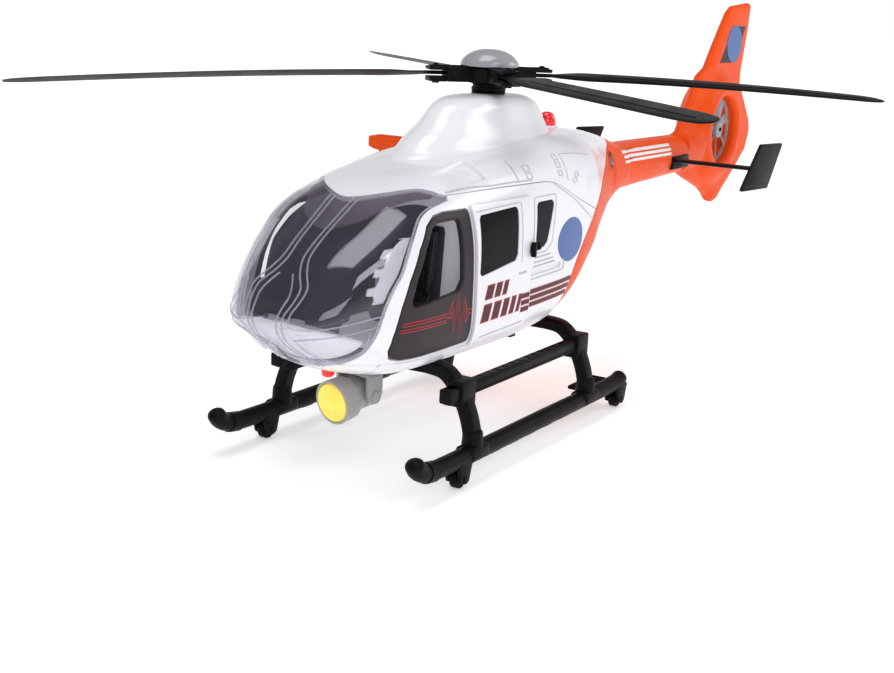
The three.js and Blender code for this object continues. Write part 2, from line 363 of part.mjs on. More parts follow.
const shroudIn = sub(both(toM(sideExtrude(grow(FIN, -3.2), -10.6, 10.6)), add(new THREE.CylinderGeometry(44.5, 44.5, 6.4, 12), new THREE.CylinderGeometry(29, 44.5, 7.6, 12).translate(0, 7.0, 0), new THREE.CylinderGeometry(44.5, 29, 7.6, 12).translate(0, -7.0, 0)).translate([FAN_X, 0, FAN_Z])), cylY(DUCT_R + 2.4, -40, 40, FAN_X, FAN_Z, 12));
const finInC = sub(finIn, cylY(DUCT_R + 2.4, -40, 40, FAN_X, FAN_Z, 12));
tail = sub(tail, both(INN, box(-49.8, -60, 0, 120, 60, 200)), boomL(2.2, [[-46, 14.2, 125.2, 14.4], ...BOOM.slice(1, -1), [-159, 12.8, 126.1, 12.6]]), finInC, shroudIn, duct);
const SAD = { x0: -148.2, x1: -120.8, z0: 118.4, z1: 127.2 };
tail = sub(tail, box(SAD.x0 - 0.3, -30, SAD.z0 - 0.3, SAD.x1 + 0.3, 30, SAD.z1 + 0.3));
// sockets that carry the fan bracket
const BR = { x0: -222.5, x1: -212.5 };
tail = sub(tail, box(BR.x0 - 0.3, -2.2, 100, BR.x1 + 0.3, 2.2, FAN_Z));
const TL = both(tail, box(-400, 0.12, -10, 200, 80, 300)), TR = both(tail, box(-400, -80, -10, 200, -0.12, 300));
put('tail_shell_left', TL, 'orange'); put('tail_shell_right', TR, 'orange');
// fan bracket: an upright post across the lower half of the duct with the axle on it
const brk = add(box(BR.x0, -1.9, 112.6, BR.x1, 1.9, FAN_Z - 3), cylY(5, -1.9, 1.9, FAN_X, FAN_Z, 20), cylY(1.5, -9.5, 9.5, FAN_X, FAN_Z, 16));
put('fan_bracket', brk, 'orange');
// fan: hub drum with ten blades on the port side of the bracket
let fan = cylY(6.2, 2.3, 8.6, FAN_X, FAN_Z, 20);
fan = toM(fan);
for (let i = 0; i < 7; i++) {
  const b = new THREE.BoxGeometry(8.2, 1.1, 16.6).rotateZ(0.5).translate(0, 0, 13.9).rotateY((i * 2 * Math.PI) / 7).translate(FAN_X, 5.4, FAN_Z);
  fan = add(fan, b);
}
fan = add(fan, sub(cylY(23.2, 4.6, 6.2, FAN_X, FAN_Z, 20), cylY(21.5, 0, 10, FAN_X, FAN_Z, 20)));
fan = sub(fan, cylY(1.62, 0, 12, FAN_X, FAN_Z, 16));
put('tail_fan', fan, 'dome');
// stabilizer: bar, saddle in the boom and swept end plates
const EP = [[-139.1, 139.3], [-181.0, 137.6], [-157.3, 108.8], [-107.3, 110.8]];
let stab = add(box(SAD.x0, -14.4, SAD.z0, SAD.x1, 14.4, SAD.z1), box(-132.5, -66.8, 123.0, -121.6, 66.8, 125.6), sideExtrude(EP, 66.4, 68.6), sideExtrude(EP, -68.6, -66.4));
put('stabilizer', stab, 'black');

// ---------------------------------------------------------------- landing gear
const OUT_PAD = toM(hull(-0.35));
for (const [i, n] of [[0, 'front'], [1, 'rear']]) {
  let st = both(ARCH[i], box(-100, -80, SKID_Z - 0.4, 300, 80, 80));
  if (i === 1) st = sub(add(st, box(77, 6, 52, 88, 20, 62), box(77, -20, 52, 88, -6, 62)), OUT_PAD); // pads against the tail's underside
  const tubes = S2.map((s) => cylX(SKID_R + 0.3, STRUT_X[i] - 20, STRUT_X[i] + 20, s * SKID_Y, SKID_Z, 16));
  put(n + '_strut', sub(st, ...tubes), 'black');
}
for (const s of S2) {
  const path = new THREE.CatmullRomCurve3([[252.8, 24.0], [250.4, 19.4], [245.5, 16.2], [238, 14.6], [228, 14.2], [200, 14.2], [160, 14.2], [120, 14.2], [80, 14.2], [52, 14.3], [42, 14.9], [35.2, 16.8]].map((p) => V3(p[0], s * SKID_Y, p[1])), false, 'centripetal');
  let sk = toM(tube(path, oval(SKID_R, SKID_R, 10), 16));
  for (const wx of WHEEL_X) {
    for (const q of [-1, 1]) {
      const yc = s * SKID_Y + q * 3.6;
      const cheek = new THREE.Shape([[wx - 6.4, 13.5], [wx + 6.4, 13.5], [wx + 4.4, 5], [wx + 3, 2.2], [wx - 3, 2.2], [wx - 4.4, 5]].map((p) => new THREE.Vector2(p[0], p[1])));
      sk = add(sk, sideExtrude(cheek.getPoints().map((p) => [p.x, p.y]).slice(0, 6), yc - 0.9, yc + 0.9));
    }
    sk = sub(sk, cylY(WHEEL_R + 0.7, s * SKID_Y - 2.7, s * SKID_Y + 2.7, wx, WHEEL_R, 14), cylY(1.5, s * SKID_Y - 9, s * SKID_Y + 9, wx, WHEEL_R, 10));
  }
  // rear tread plate on the inboard side, and socket collars for the struts
  const yi = s * (SKID_Y - 14.5), tp = box(45, Math.min(yi, s * SKID_Y), 14.6, 75, Math.max(yi, s * SKID_Y), 16.8);
  sk = add(sk, tp);
  put('skid_' + NAME[s], sk, 'black');
  // wheel: 16-sided so that it stands still on a flat
  const wi = { 213.9: 'front', 42.4: 'rear' };
  for (const wx of WHEEL_X) {
    const R = WHEEL_R / Math.cos(Math.PI / 16);
    const body = new THREE.CylinderGeometry(R, R, 4.6, 16).rotateY(Math.PI / 16).translate(wx, s * SKID_Y, WHEEL_R);
    put('wheel_' + wi[wx] + '_' + NAME[s], add(body, cylY(1.2, s * SKID_Y - 4.7, s * SKID_Y + 4.7, wx, WHEEL_R, 12)), 'black');
  }
  // step bar
  let bar = toM(box(74.5, s * BAR_Y - 3.3, BAR_Z - 3.6, 216.5, s * BAR_Y + 3.3, BAR_Z + 3.6));
  bar = sub(bar, ...STRUT_X.map((x, i) => archGeo(x, 4.65, 3.85)));
  put('step_bar_' + NAME[s], bar, 'black');
}

// ---------------------------------------------------------------- lights, winch, spotlight
put('beacon_lens', new THREE.LatheGeometry([[0, 150.6], [3.7, 150.6], [3.7, 155.5], [5.2, 155.5], [5.2, 158], [4.6, 160.6], [3.2, 162.6], [0, 163.5]].map((p) => new THREE.Vector2(p[0], p[1])), 16).rotateX(Math.PI / 2).translate(36.3, 0, 0), 'red');
put('belly_light_lens', new THREE.LatheGeometry([[0, 48.9], [2.2, 49.3], [3.1, 50.6], [3.1, 56], [0, 56]].map((p) => new THREE.Vector2(p[0], p[1])), 16).rotateX(Math.PI / 2).translate(239.5, 0, 0), 'red');
// winch housing: an arm through the starboard shoulder, open underneath at its tip
let wb = sub(frontExtrude(WARM, WB.x0, WB.x1), box(WB.x0 + 1.4, -68.1, 130, WB.x1 - 1.4, -57.4, 147.0));
wb = sub(wb, cylX(1.15, WB.x0 - 2, WB.x1 - 0.7, WB.dy, WB.dz, 12));
put('winch_arm', wb, 'orange');
put('winch_drum', add(cylX(1.9, WB.x0 + 1.8, WB.x1 - 1.8, WB.dy, WB.dz, 14), cylX(0.9, WB.x0 - 4.6, WB.x1 - 1.0, WB.dy, WB.dz, 12), cylX(3.2, WB.x0 - 4.6, WB.x0 - 0.5, WB.dy, WB.dz, 12)), 'black');
put('winch_cord', cylZ(0.45, 134.9, 142.5, 110, WB.cy, 8), 'cord');
let hook = add(box(108.9, WB.cy - 1.0, 132.9, 111.1, WB.cy + 1.0, 134.6), sub(cylY(3.1, WB.cy - 1.0, WB.cy + 1.0, 110, 130.6, 14), cylY(1.6, WB.cy - 3, WB.cy + 3, 110, 130.6, 12), box(111.3, WB.cy - 3, 130.4, 115, WB.cy + 3, 134.2)));
put('winch_hook', hook, 'redhook');
// spotlight: turntable yoke under the belly, tilting lamp head with a yellow lens
const YX = 214, TZ = 36.2, PAN0 = -10, TILT0 = 8; // rest angles, degrees
let yoke = add(cylZ(1.9, 48, 55.6, YX, 0, 16), cylZ(3.2, 54.3, 56.4, YX, 0, 16), cylZ(6.3, 46.6, 50.3, YX, 0, 24), box(YX - 5, -11.3, 46.0, YX + 5, 11.3, 48.2), box(YX - 5, 9.1, 32.2, YX + 5, 11.3, 48.2), box(YX - 5, -11.3, 32.2, YX + 5, -9.1, 48.2));
yoke = sub(yoke, cylY(1.5, -20, 20, YX, TZ, 16));
put('spotlight_yoke', yoke.translate([-YX, 0, 0]).rotate([0, 0, PAN0]).translate([YX, 0, 0]), 'grey');
const headP = [[205.8, 0], [206.2, 4.2], [208.2, 7.2], [211, 8.4], [219.5, 8.7], [222.2, 10.2], [223, 10.7], [232.4, 11.1], [232.4, 9.9], [229.8, 9.7], [229.8, 0]];
const head0 = new THREE.LatheGeometry(headP.map((p) => new THREE.Vector2(p[1], p[0])), 24).rotateZ(-Math.PI / 2).translate(0, 0, TZ);
const aim = (m) => asM(m).translate([-YX, 0, -TZ]).rotate([0, TILT0, 0]).rotate([0, 0, PAN0]).translate([YX, 0, TZ]);
put('spotlight_head', aim(add(head0, cylY(1.2, -11.2, 11.2, YX, TZ, 12))), 'grey');
put('spotlight_lens', aim(new THREE.LatheGeometry([[230.1, 0], [230.1, 9.4], [232.2, 9.5], [233.4, 7.0], [234.2, 3.6], [234.5, 0]].map((p) => new THREE.Vector2(p[1], p[0])), 24).rotateZ(-Math.PI / 2).translate(0, 0, TZ)), 'yellow');

// ---------------------------------------------------------------- rotor drive and rotor
const GC = ((GEAR_T + PINION_T) * GEAR_M) / 2, MX = MAST_X - GC; // motor axis
let frame = add(box(MX - 14, -15, 128.6, 120, 15, 131.2), ...[[78, -13], [78, 13], [117, -13], [117, 13]].map(([x, y]) => cylZ(2.4, 131, 148.4, x, y, 12)));
frame = sub(frame, cylZ(4.3, 120, 140, MAST_X, 0, 16), cylZ(4.6, 120, 140, MX, 0, 16));
put('gearbox_frame', frame, 'lightgrey');
put('rotor_motor', sub(cylZ(10, 103, 128.2, MX, 0, 20), box(MX - 12, 7.6, 100, MX + 12, 12, 130), box(MX - 12, -12, 100, MX + 12, -7.6, 130)), 'steel');
put('motor_pinion', add(gear(PINION_T, GEAR_M, 132.4, 137.4, MX, 0, Math.PI / PINION_T), cylZ(1.0, 128.5, 132.6, MX, 0, 10)), 'brass');
put('mast_gear', sub(gear(GEAR_T, GEAR_M, 133, 136.6, MAST_X, 0, Math.PI), cylZ(4.2, 120, 140, MAST_X, 0, 16)), 'lightgrey');
put('rotor_mast', add(cylZ(3.9, 128.8, 180.6, MAST_X, 0, 16), cylZ(5.6, 171.5, 176.4, MAST_X, 0, 20)), 'black');
let hub = add(cylZ(12.5, 181.6, 189.6, MAST_X, 0, 24), cylZ(9.2, 177.2, 181.8, MAST_X, 0, 20));
const arm = (a) => add(box(8, -5.2, 181.8, 34, 5.2, 189.6)).rotate([0, 0, a]).translate([MAST_X, 0, 0]);
for (const a of BLADE_AZ) hub = add(hub, arm(a));
for (const a of BLADE_AZ) hub = sub(hub, toM(box(24.7, -4.1, 184.6, 36, 4.1, 187.6)).rotate([0, 0, a]).translate([MAST_X, 0, 0]));
hub = sub(hub, cylZ(4.2, 170, 183, MAST_X, 0, 16));
put('rotor_hub', hub, 'black');
put('hub_dome', new THREE.LatheGeometry([[0, 190.1], [15.6, 190.1], [15.6, 191.0], [14.4, 193.6], [11.4, 196.4], [6.6, 198.5], [0, 199.2]].map((p) => new THREE.Vector2(p[0], p[1])), 24).rotateX(Math.PI / 2).translate(MAST_X, 0, 0), 'dome');
BLADE_AZ.forEach((a, i) => {
  const rows = [[25, 3.7, 1.1, 0], [34.4, 3.7, 1.1, 0], [40, 4.6, 1.2, 8], [58, 6.6, 1.1, 15], [120, 6.6, 0.9, 15], [185, 6.4, 0.75, 15], [228, 5.8, 0.65, 15], [240, 4.6, 0.55, 15], [ROTOR_R, 2.2, 0.4, 15]];
  const rings = rows.map(([r, c, t, tw]) => {
    const dz = -BLADE_DROOP[i] * Math.pow(Math.max(0, r - 30) / (ROTOR_R - 30), 1.6), w = (tw * Math.PI) / 180;
    return [[c, 0], [0.55 * c, t], [-0.45 * c, t], [-c, 0], [-0.45 * c, -t], [0.55 * c, -t]].map(([y, z]) => V3(r, y * Math.cos(w) - z * Math.sin(w), BLADE_Z + dz + y * Math.sin(w) + z * Math.cos(w)));
  });
  put('rotor_blade_' + (i + 1), toM(loft(rings)).rotate([0, 0, a]).translate([MAST_X, 0, 0]), 'black');
});

// ---------------------------------------------------------------- assemble
const helicopter = new THREE.Group();
helicopter.name = 'toy_helicopter';
for (const m of parts.values()) helicopter.add(m);
export default helicopter;
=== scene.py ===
import math
import bpy, bmesh
import numpy as np
from mathutils import Vector, Matrix
from mathutils.geometry import delaunay_2d_cdt


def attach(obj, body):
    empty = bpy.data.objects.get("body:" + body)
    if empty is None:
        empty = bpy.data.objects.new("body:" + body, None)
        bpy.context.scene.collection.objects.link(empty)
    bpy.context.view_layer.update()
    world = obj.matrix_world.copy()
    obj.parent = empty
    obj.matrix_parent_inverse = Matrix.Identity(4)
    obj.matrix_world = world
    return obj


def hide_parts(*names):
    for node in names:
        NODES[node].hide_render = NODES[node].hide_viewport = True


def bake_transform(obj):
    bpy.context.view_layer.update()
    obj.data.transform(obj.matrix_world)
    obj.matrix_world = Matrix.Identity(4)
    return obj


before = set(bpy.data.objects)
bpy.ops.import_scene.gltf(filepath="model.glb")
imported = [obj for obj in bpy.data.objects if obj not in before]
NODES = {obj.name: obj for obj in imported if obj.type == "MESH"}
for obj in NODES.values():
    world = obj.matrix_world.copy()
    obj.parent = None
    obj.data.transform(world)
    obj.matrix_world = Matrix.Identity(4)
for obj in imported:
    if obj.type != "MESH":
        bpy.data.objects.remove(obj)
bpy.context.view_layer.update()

rng = np.random.default_rng(7)

# ------------------------------------------------------------ dimensions in millimetres
ROTOR_R, MAST_X, BLADE_Z = 245.0, 104.0, 186.1
BLADE_AZ = [-40, 50, 140, 230]
BLADE_DROOP = [9.2, 1.1, 9.2, 1.1]
SKID_Y, SKID_Z, SKID_R = 58.3, 14.2, 4.6
STRUT_X = [201.3, 81.8]
WHEEL_X, WHEEL_R = [213.9, 42.4], 4.5
BAR_Y, BAR_Z = 50.6, 43.4
FAN_X, FAN_Z, DUCT_R = -217.0, 139.6, 24.0
BELLY_Z = 62.4
SEC = np.array([
 [287.5, 84.0, 87.0, 2.6, 85.0, 2.0, 2.0], [285.0, 79.0, 90.0, 15.0, 84.2, 2.05, 2.0], [280.0, 73.8, 95.5, 24.0, 82.9, 2.3, 1.9],
 [272.0, 67.8, 103.0, 31.5, 82.6, 2.6, 1.85], [260.0, 59.8, 114.0, 38.4, 81.7, 2.95, 2.0], [245.0, 53.9, 124.0, 44.0, 81.5, 3.4, 2.5],
 [228.0, 51.2, 134.0, 47.0, 82.0, 3.7, 3.0], [205.0, 50.8, 142.2, 48.0, 82.5, 3.5, 3.2], [175.0, 50.8, 148.0, 48.4, 83.6, 3.6, 3.4],
 [140.0, 50.8, 151.0, 48.4, 85.5, 4.0, 3.6], [105.0, 52.0, 153.0, 47.6, 88.8, 4.2, 3.6], [75.0, 58.3, 154.5, 45.0, 94.9, 3.9, 3.2],
 [45.0, 72.0, 155.0, 39.5, 103.2, 3.4, 2.7], [15.0, 86.5, 153.0, 29.6, 110.8, 2.9, 2.6], [-20.0, 100.5, 147.5, 19.0, 118.8, 2.4, 2.4],
 [-50.0, 110.5, 139.8, 14.0, 125.1, 2.05, 2.1]])
GLASS_EDGE = [[259.5, 50], [259.2, 62], [258.4, 70], [258.0, 75.2], [255.9, 82.2], [252.5, 91.3], [248.3, 98.6],
  [243.2, 104.7], [238.2, 112.5], [232.2, 120.2], [224.7, 126.9], [217.0, 130.3], [207, 132.4], [202.1, 133.2]]
TONGUE = [[201.5, 39.5], [203.0, 36], [204.9, 33.6], [210.3, 27.5], [219.8, 19.1], [226.5, 8.9], [228.6, 4], [229.2, 0]]
COWL_LINE = [[203, 135.4], [183.7, 135.6], [146.3, 135.6], [110.3, 134.2], [96.9, 129.9], [76.6, 122.0], [43.0, 112.0]]
TAIL_EDGE = [[-25.5, 156], [-24.6, 145.2], [-8.7, 139.9], [1.8, 136.0], [26.3, 123.8], [45.9, 112.6], [75.9, 89.9], [89.0, 71.5], [97.5, 52]]
DOOR = [[190.6, 64.8], [239.9, 63.9], [246.2, 65.6], [249.3, 70.6], [248.9, 77], [244.6, 90], [239.6, 101.2], [231.5, 114.5], [223.2, 123.8], [216.2, 127.8], [209, 128.9], [190.6, 128.9]]
DOOR_WIN = [[199.5, 96.4], [203.2, 91.8], [236.5, 88.8], [238.4, 91.2], [234.4, 102], [227.6, 113.6], [219.6, 122.8], [213.5, 125], [199.5, 125]]
SDOOR = [[137.6, 63.6], [189.0, 62.6], [190.0, 64], [190.0, 128.6], [188.6, 129.8], [137.6, 129.8]]
SWIN = [[152.2, 102.4], [154.6, 99.8], [186.6, 96.4], [188.2, 98.2], [186.4, 123], [184.6, 124.8], [152.8, 126], [151.0, 124.2]]
RWIN = [[110.6, 123.6], [112.4, 125.6], [127.4, 125.6], [129.2, 124], [130.6, 104], [129.2, 102.4], [121.8, 102.2], [117.8, 104.6]]

# ------------------------------------------------------------ curves and the hull surface
class Pchip:
    def __init__(self, xs, ys):
        xs = np.asarray(xs, float); ys = np.asarray(ys, float); h = np.diff(xs); d = np.diff(ys) / h; n = len(xs); m = np.zeros(n)
        def end(h0, h1, d0, d1):
            v = ((2 * h0 + h1) * d0 - h0 * d1) / (h0 + h1)
            if np.sign(v) != np.sign(d0): return 0.0
            if np.sign(d0) != np.sign(d1) and abs(v) > 3 * abs(d0): return 3 * d0
            return v
        m[0] = end(h[0], h[1], d[0], d[1]); m[-1] = end(h[-1], h[-2], d[-1], d[-2])
        for i in range(1, n - 1):
            if d[i - 1] * d[i] > 0:
                w1, w2 = 2 * h[i] + h[i - 1], h[i] + 2 * h[i - 1]
                m[i] = (w1 + w2) / (w1 / d[i - 1] + w2 / d[i])
        self.x, self.y, self.h, self.m = xs, ys, h, m
    def __call__(self, x):
        x = np.clip(np.asarray(x, float), self.x[0], self.x[-1])
        i = np.clip(np.searchsorted(self.x, x, side='right') - 1, 0, len(self.h) - 1)
        t = (x - self.x[i]) / self.h[i]; t2 = t * t; t3 = t2 * t
        return (2*t3 - 3*t2 + 1) * self.y[i] + (t3 - 2*t2 + t) * self.h[i] * self.m[i] + (-2*t3 + 3*t2) * self.y[i + 1] + (t3 - t2) * self.h[i] * self.m[i + 1]

fzb, fzt, fw, fzc, fnt, fnb = [Pchip(SEC[::-1, 0], SEC[::-1, k]) for k in (1, 2, 3, 4, 5, 6)]

def half(x, z):
    x = np.asarray(x, float); z = np.asarray(z, float); zc = fzc(x); up = z >= zc
    n = np.where(up, fnt(x), fnb(x)); h = np.where(up, fzt(x) - zc, zc - fzb(x))
    a = 1 - np.clip(np.abs(z - zc) / h, 0, 1) ** n
    return fw(x) * np.clip(a, 0, None) ** (1 / n)

def hullF(p):
    x, y, z = p[:, 0], np.abs(p[:, 1]), p[:, 2]; zc = fzc(x); up = z >= zc
    n = np.where(up, fnt(x), fnb(x)); h = np.where(up, fzt(x) - zc, zc - fzb(x))
    r = (y / fw(x)) ** n + (np.abs(z - zc) / h) ** n
    return np.clip(r, 1e-9, None) ** (1 / n) - 1

def hull_normal(p):
    g = np.zeros_like(p); e = 0.06
    for k in range(3):
        d = np.zeros(3); d[k] = e
        g[:, k] = (hullF(p + d) - hullF(p - d)) / (2 * e)
    n = np.linalg.norm(g, axis=1)[:, None]
    return g / np.where(n < 1e-12, 1, n)

TH = np.linspace(0, math.pi / 2, 260)
def quarter(x, top):
    """(y, z, arc length from the centreline) of the quarter section at each x."""
    x = np.asarray(x, float).reshape(-1, 1)
    n = fnt(x) if top else fnb(x); h = (fzt(x) - fzc(x)) if top else (fzc(x) - fzb(x))
    y = fw(x) * np.sin(TH)[None, :] ** (2 / n); dz = h * np.cos(TH)[None, :] ** (2 / n)
    z = fzc(x) + dz if top else fzc(x) - dz
    s = np.concatenate([np.zeros((len(x), 1)), np.cumsum(np.hypot(np.diff(y, axis=1), np.diff(z, axis=1)), axis=1)], axis=1)
    return y, z, s

def v_of_z(x, z, top=True):
    y, zz, s = quarter([x], top)
    return float(np.interp(z, zz[0][::-1], s[0][::-1])) if top else float(np.interp(z, zz[0], s[0]))
def v_of_y(x, yy, top=True):
    y, zz, s = quarter([x], top)
    return float(np.interp(yy, y[0], s[0]))

def P_side(q):
    return np.column_stack([q[:, 0], half(q[:, 0], q[:, 1]), q[:, 1]])
def P_cap(top):
    def f(q):
        out = np.zeros((len(q), 3)); v = np.abs(q[:, 1])
        y, z, s = quarter(q[:, 0], top)
        for i in range(len(q)):
            out[i] = (q[i, 0], np.interp(v[i], s[i], y[i]) * (1 if q[i, 1] >= 0 else -1), np.interp(v[i], s[i], z[i]))
        return out
    return f
P_top, P_bot = P_cap(True), P_cap(False)

def spline(pts, step=1.2, closed=False):
    """Centripetal Catmull-Rom through the points, about one point each step."""
    p = [np.array(a, float) for a in pts]; out = []
    n = len(p); m = n if closed else n - 1
    for i in range(m):
        p1, p2 = p[i], p[(i + 1) % n]
        p0 = p[i - 1] if (i > 0 or closed) else 2 * p1 - p2
        p3 = p[(i + 2) % n] if (i + 2 < n or closed) else 2 * p2 - p1
        t0 = 0.0; t1 = t0 + max(np.linalg.norm(p1 - p0), 1e-6) ** 0.5; t2 = t1 + max(np.linalg.norm(p2 - p1), 1e-6) ** 0.5; t3 = t2 + max(np.linalg.norm(p3 - p2), 1e-6) ** 0.5
        k = max(1, int(math.ceil(np.linalg.norm(p2 - p1) / step)))
        for j in range(k):
            t = t1 + (t2 - t1) * j / k
            a1 = (t1 - t) / (t1 - t0) * p0 + (t - t0) / (t1 - t0) * p1
            a2 = (t2 - t) / (t2 - t1) * p1 + (t - t1) / (t2 - t1) * p2
            a3 = (t3 - t) / (t3 - t2) * p2 + (t - t2) / (t3 - t2) * p3
            b1 = (t2 - t) / (t2 - t0) * a1 + (t - t0) / (t2 - t0) * a2
            b2 = (t3 - t) / (t3 - t1) * a2 + (t - t1) / (t3 - t1) * a3
            out.append((t2 - t) / (t2 - t1) * b1 + (t - t1) / (t2 - t1) * b2)
    if not closed: out.append(p[-1])
    return np.array(out)

def dense(pts, step):
    out = []; n = len(pts)
    for i in range(n):
        a, b = np.array(pts[i], float), np.array(pts[(i + 1) % n], float); L = np.linalg.norm(b - a)
        if L < 1e-6: continue
        k = max(1, int(math.ceil(L / step)))
        out += [a + (b - a) * j / k for j in range(k)]
    return np.array(out)

def fillet(pts, r, seg=6):
    out = []; n = len(pts); rs = r if hasattr(r, '__len__') else [r] * n
    for i in range(n):
        p = np.array(pts[i], float); a = np.array(pts[i - 1], float) - p; b = np.array(pts[(i + 1) % n], float) - p
        la, lb = np.linalg.norm(a), np.linalg.norm(b); a /= la; b /= lb
        ang = math.acos(np.clip(a @ b, -1, 1))
        if ang > math.pi - 0.06 or rs[i] <= 0: out.append(p); continue
        t = min(rs[i] / math.tan(ang / 2), 0.46 * la, 0.46 * lb)
        for j in range(seg + 1):
            u = j / seg
            out.append((1-u)**2 * (p + a * t) + 2 * u * (1-u) * p + u * u * (p + b * t))
    return out

def area2(p):
    x, y = p[:, 0], p[:, 1]; return 0.5 * np.sum(x * np.roll(y, -1) - np.roll(x, -1) * y)

def loop_normals(p):
    """Unit normals pointing to the left of the walk, which is the inside of an anticlockwise loop."""
    d = np.roll(p, -1, 0) - p; d /= np.maximum(np.linalg.norm(d, axis=1), 1e-9)[:, None]
    n = np.column_stack([-d[:, 1], d[:, 0]]); n = n + np.roll(n, 1, 0)
    l = np.maximum(np.linalg.norm(n, axis=1), 0.6)[:, None]
    return n / l

def grow(pts, d):
    p = np.array(pts, float); s = 1 if area2(p) > 0 else -1
    e = np.roll(p, -1, 0) - p; e /= np.linalg.norm(e, axis=1)[:, None]
    n = np.column_stack([e[:, 1], -e[:, 0]]) * s; n1 = np.roll(n, 1, 0)
    k = d / np.maximum(0.35, 1 + np.sum(n * n1, axis=1))
    return p + (n + n1) * k[:, None]

def inside(q, poly):
    x, y = q[:, 0][:, None], q[:, 1][:, None]; a = poly; b = np.roll(poly, -1, 0)
    c = ((a[:, 1] > y) != (b[:, 1] > y)) & (x < (b[:, 0] - a[:, 0]) * (y - a[:, 1]) / (b[:, 1] - a[:, 1] + 1e-30) + a[:, 0])
    return (c.sum(1) % 2) == 1

def seg_dist(q, poly, closed=True):
    a = poly if closed else poly[:-1]; b = np.roll(poly, -1, 0) if closed else poly[1:]; ab = b - a; L = np.maximum((ab ** 2).sum(1), 1e-12)
    out = np.full(len(q), 1e9)
    for i in range(0, len(q), 2000):
        w = q[i:i + 2000, None, :] - a[None]
        t = np.clip((w * ab[None]).sum(2) / L, 0, 1)
        out[i:i + 2000] = np.sqrt(((w - t[..., None] * ab[None]) ** 2).sum(2)).min(1)
    return out

def fill(outer, holes=(), spacing=3.0, ers=None, extra=None):
    """Triangulated 2-D region. ers: edge radius for the outer loop and each hole. Returns points, triangles, loops (index lists), and for each point its distance row (phi) and outward 2-D direction."""
    loops = [np.array(outer, float)] + [np.array(h, float) for h in holes]
    ers = ers or [0.35] * len(loops)
    if area2(loops[0]) < 0: loops[0] = loops[0][::-1]
    for i in range(1, len(loops)):
        if area2(loops[i]) > 0: loops[i] = loops[i][::-1]
    pts, edges, phi, dire = [], [], [], []
    for L in loops:
        s = len(pts); n = loop_normals(L); m = len(L)
        for i in range(m):
            pts.append(L[i]); phi.append(math.pi / 2); dire.append(-n[i]); edges.append((s + i, s + (i + 1) % m))
    def dom(q):
        ok = inside(q, loops[0])
        for h in loops[1:]: ok &= ~inside(q, h)
        return ok
    def dmin(q):
        return np.min([seg_dist(q, L) for L in loops], axis=0)
    maxd = 0
    for L, er in zip(loops, ers):
        n = loop_normals(L)
        for k in (1, 2, 3):
            a = math.pi / 2 * (1 - k / 3); d = er * (1 - math.sin(a)); maxd = max(maxd, d)
            q = L + n * d
            keep = dom(q) & (dmin(q) > 0.9 * d)
            for i in np.where(keep)[0]:
                pts.append(q[i]); phi.append(a); dire.append(-n[i])
    lo, hi = loops[0].min(0), loops[0].max(0); gx = np.arange(lo[0], hi[0], spacing); gy = np.arange(lo[1], hi[1], spacing * 0.866)
    g = np.array([(x + (spacing / 2 if j % 2 else 0), y) for j, y in enumerate(gy) for x in gx])
    if extra is not None: g = np.concatenate([g, np.array(extra, float)])
    g = g[dom(g)]; dm = dmin(g); g = g[dm > min(0.55 * spacing, maxd + 0.8)] if maxd < 1.5 else g[dm > maxd * 0.9 + 0.3]
    for q in g: pts.append(q); phi.append(0.0); dire.append(np.zeros(2))
    P = np.array(pts)
    vo, eo, fo, ov, oe, of_ = delaunay_2d_cdt([Vector(p) for p in P], edges, [], 0, 1e-5)
    V = np.array([(v[0], v[1]) for v in vo]); src = np.array([o[0] if len(o) else -1 for o in ov])
    F = np.array([f for f in fo if len(f) == 3]); c = V[F].mean(1); F = F[dom(c)]
    ar = 0.5 * ((V[F[:, 1], 0] - V[F[:, 0], 0]) * (V[F[:, 2], 1] - V[F[:, 0], 1]) - (V[F[:, 2], 0] - V[F[:, 0], 0]) * (V[F[:, 1], 1] - V[F[:, 0], 1]))
    F = np.where((ar < 0)[:, None], F[:, ::-1], F); F = F[np.abs(ar) > 1e-9]
    phi = np.array(phi + [0.0]); dire = np.array(dire + [np.zeros(2)])
    inv = {int(i): k for i2, k in [(0, 0)] for i in []}
    for k, olist in enumerate(ov):
        for i in olist: inv[int(i)] = k
    lo_idx = []; s = 0
    for L in loops:
        ids = [inv[s + i] for i in range(len(L))]; s += len(L)
        ids = [a for i, a in enumerate(ids) if a != ids[i - 1]]
        lo_idx.append(ids)
    return V, F, lo_idx, phi[src], dire[src], loops, ers

# ------------------------------------------------------------ meshes
MATS = {}
def make(name, verts, faces, mat, body, normals=None, sharp=None, replaces=(), mirror=False, mats=None, midx=None, flat=False):
    """A mesh object from points in millimetres. normals: one per loop. sharp: split angle in degrees when no normals are given."""
    v = np.asarray(verts, float).copy(); f = [tuple(int(i) for i in t) for t in faces]
    if mirror:
        v[:, 1] *= -1; f = [t[::-1] for t in f]
        if normals is not None:
            out = []; k = 0
            for t in f:
                m = len(t); seg = [np.array(normals[k + j]) * (1, -1, 1) for j in range(m)][::-1]; out += seg; k += m
            normals = out
    me = bpy.data.meshes.new(name); me.from_pydata((v * 0.001).tolist(), [], f); me.update()
    o = bpy.data.objects.new(name, me); bpy.context.scene.collection.objects.link(o)
    for m in (mats or [mat]): me.materials.append(MATS[m] if isinstance(m, str) else m)
    if midx is not None: me.polygons.foreach_set('material_index', np.asarray(midx, np.int32))
    me.polygons.foreach_set('use_smooth', [not flat] * len(me.polygons))
    if normals is not None:
        me.normals_split_custom_set([tuple(map(float, n)) for n in normals])
    elif sharp is not None:
        sharpen(me, sharp)
    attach(o, body)
    if replaces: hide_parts(*([replaces] if isinstance(replaces, str) else replaces))
    return o

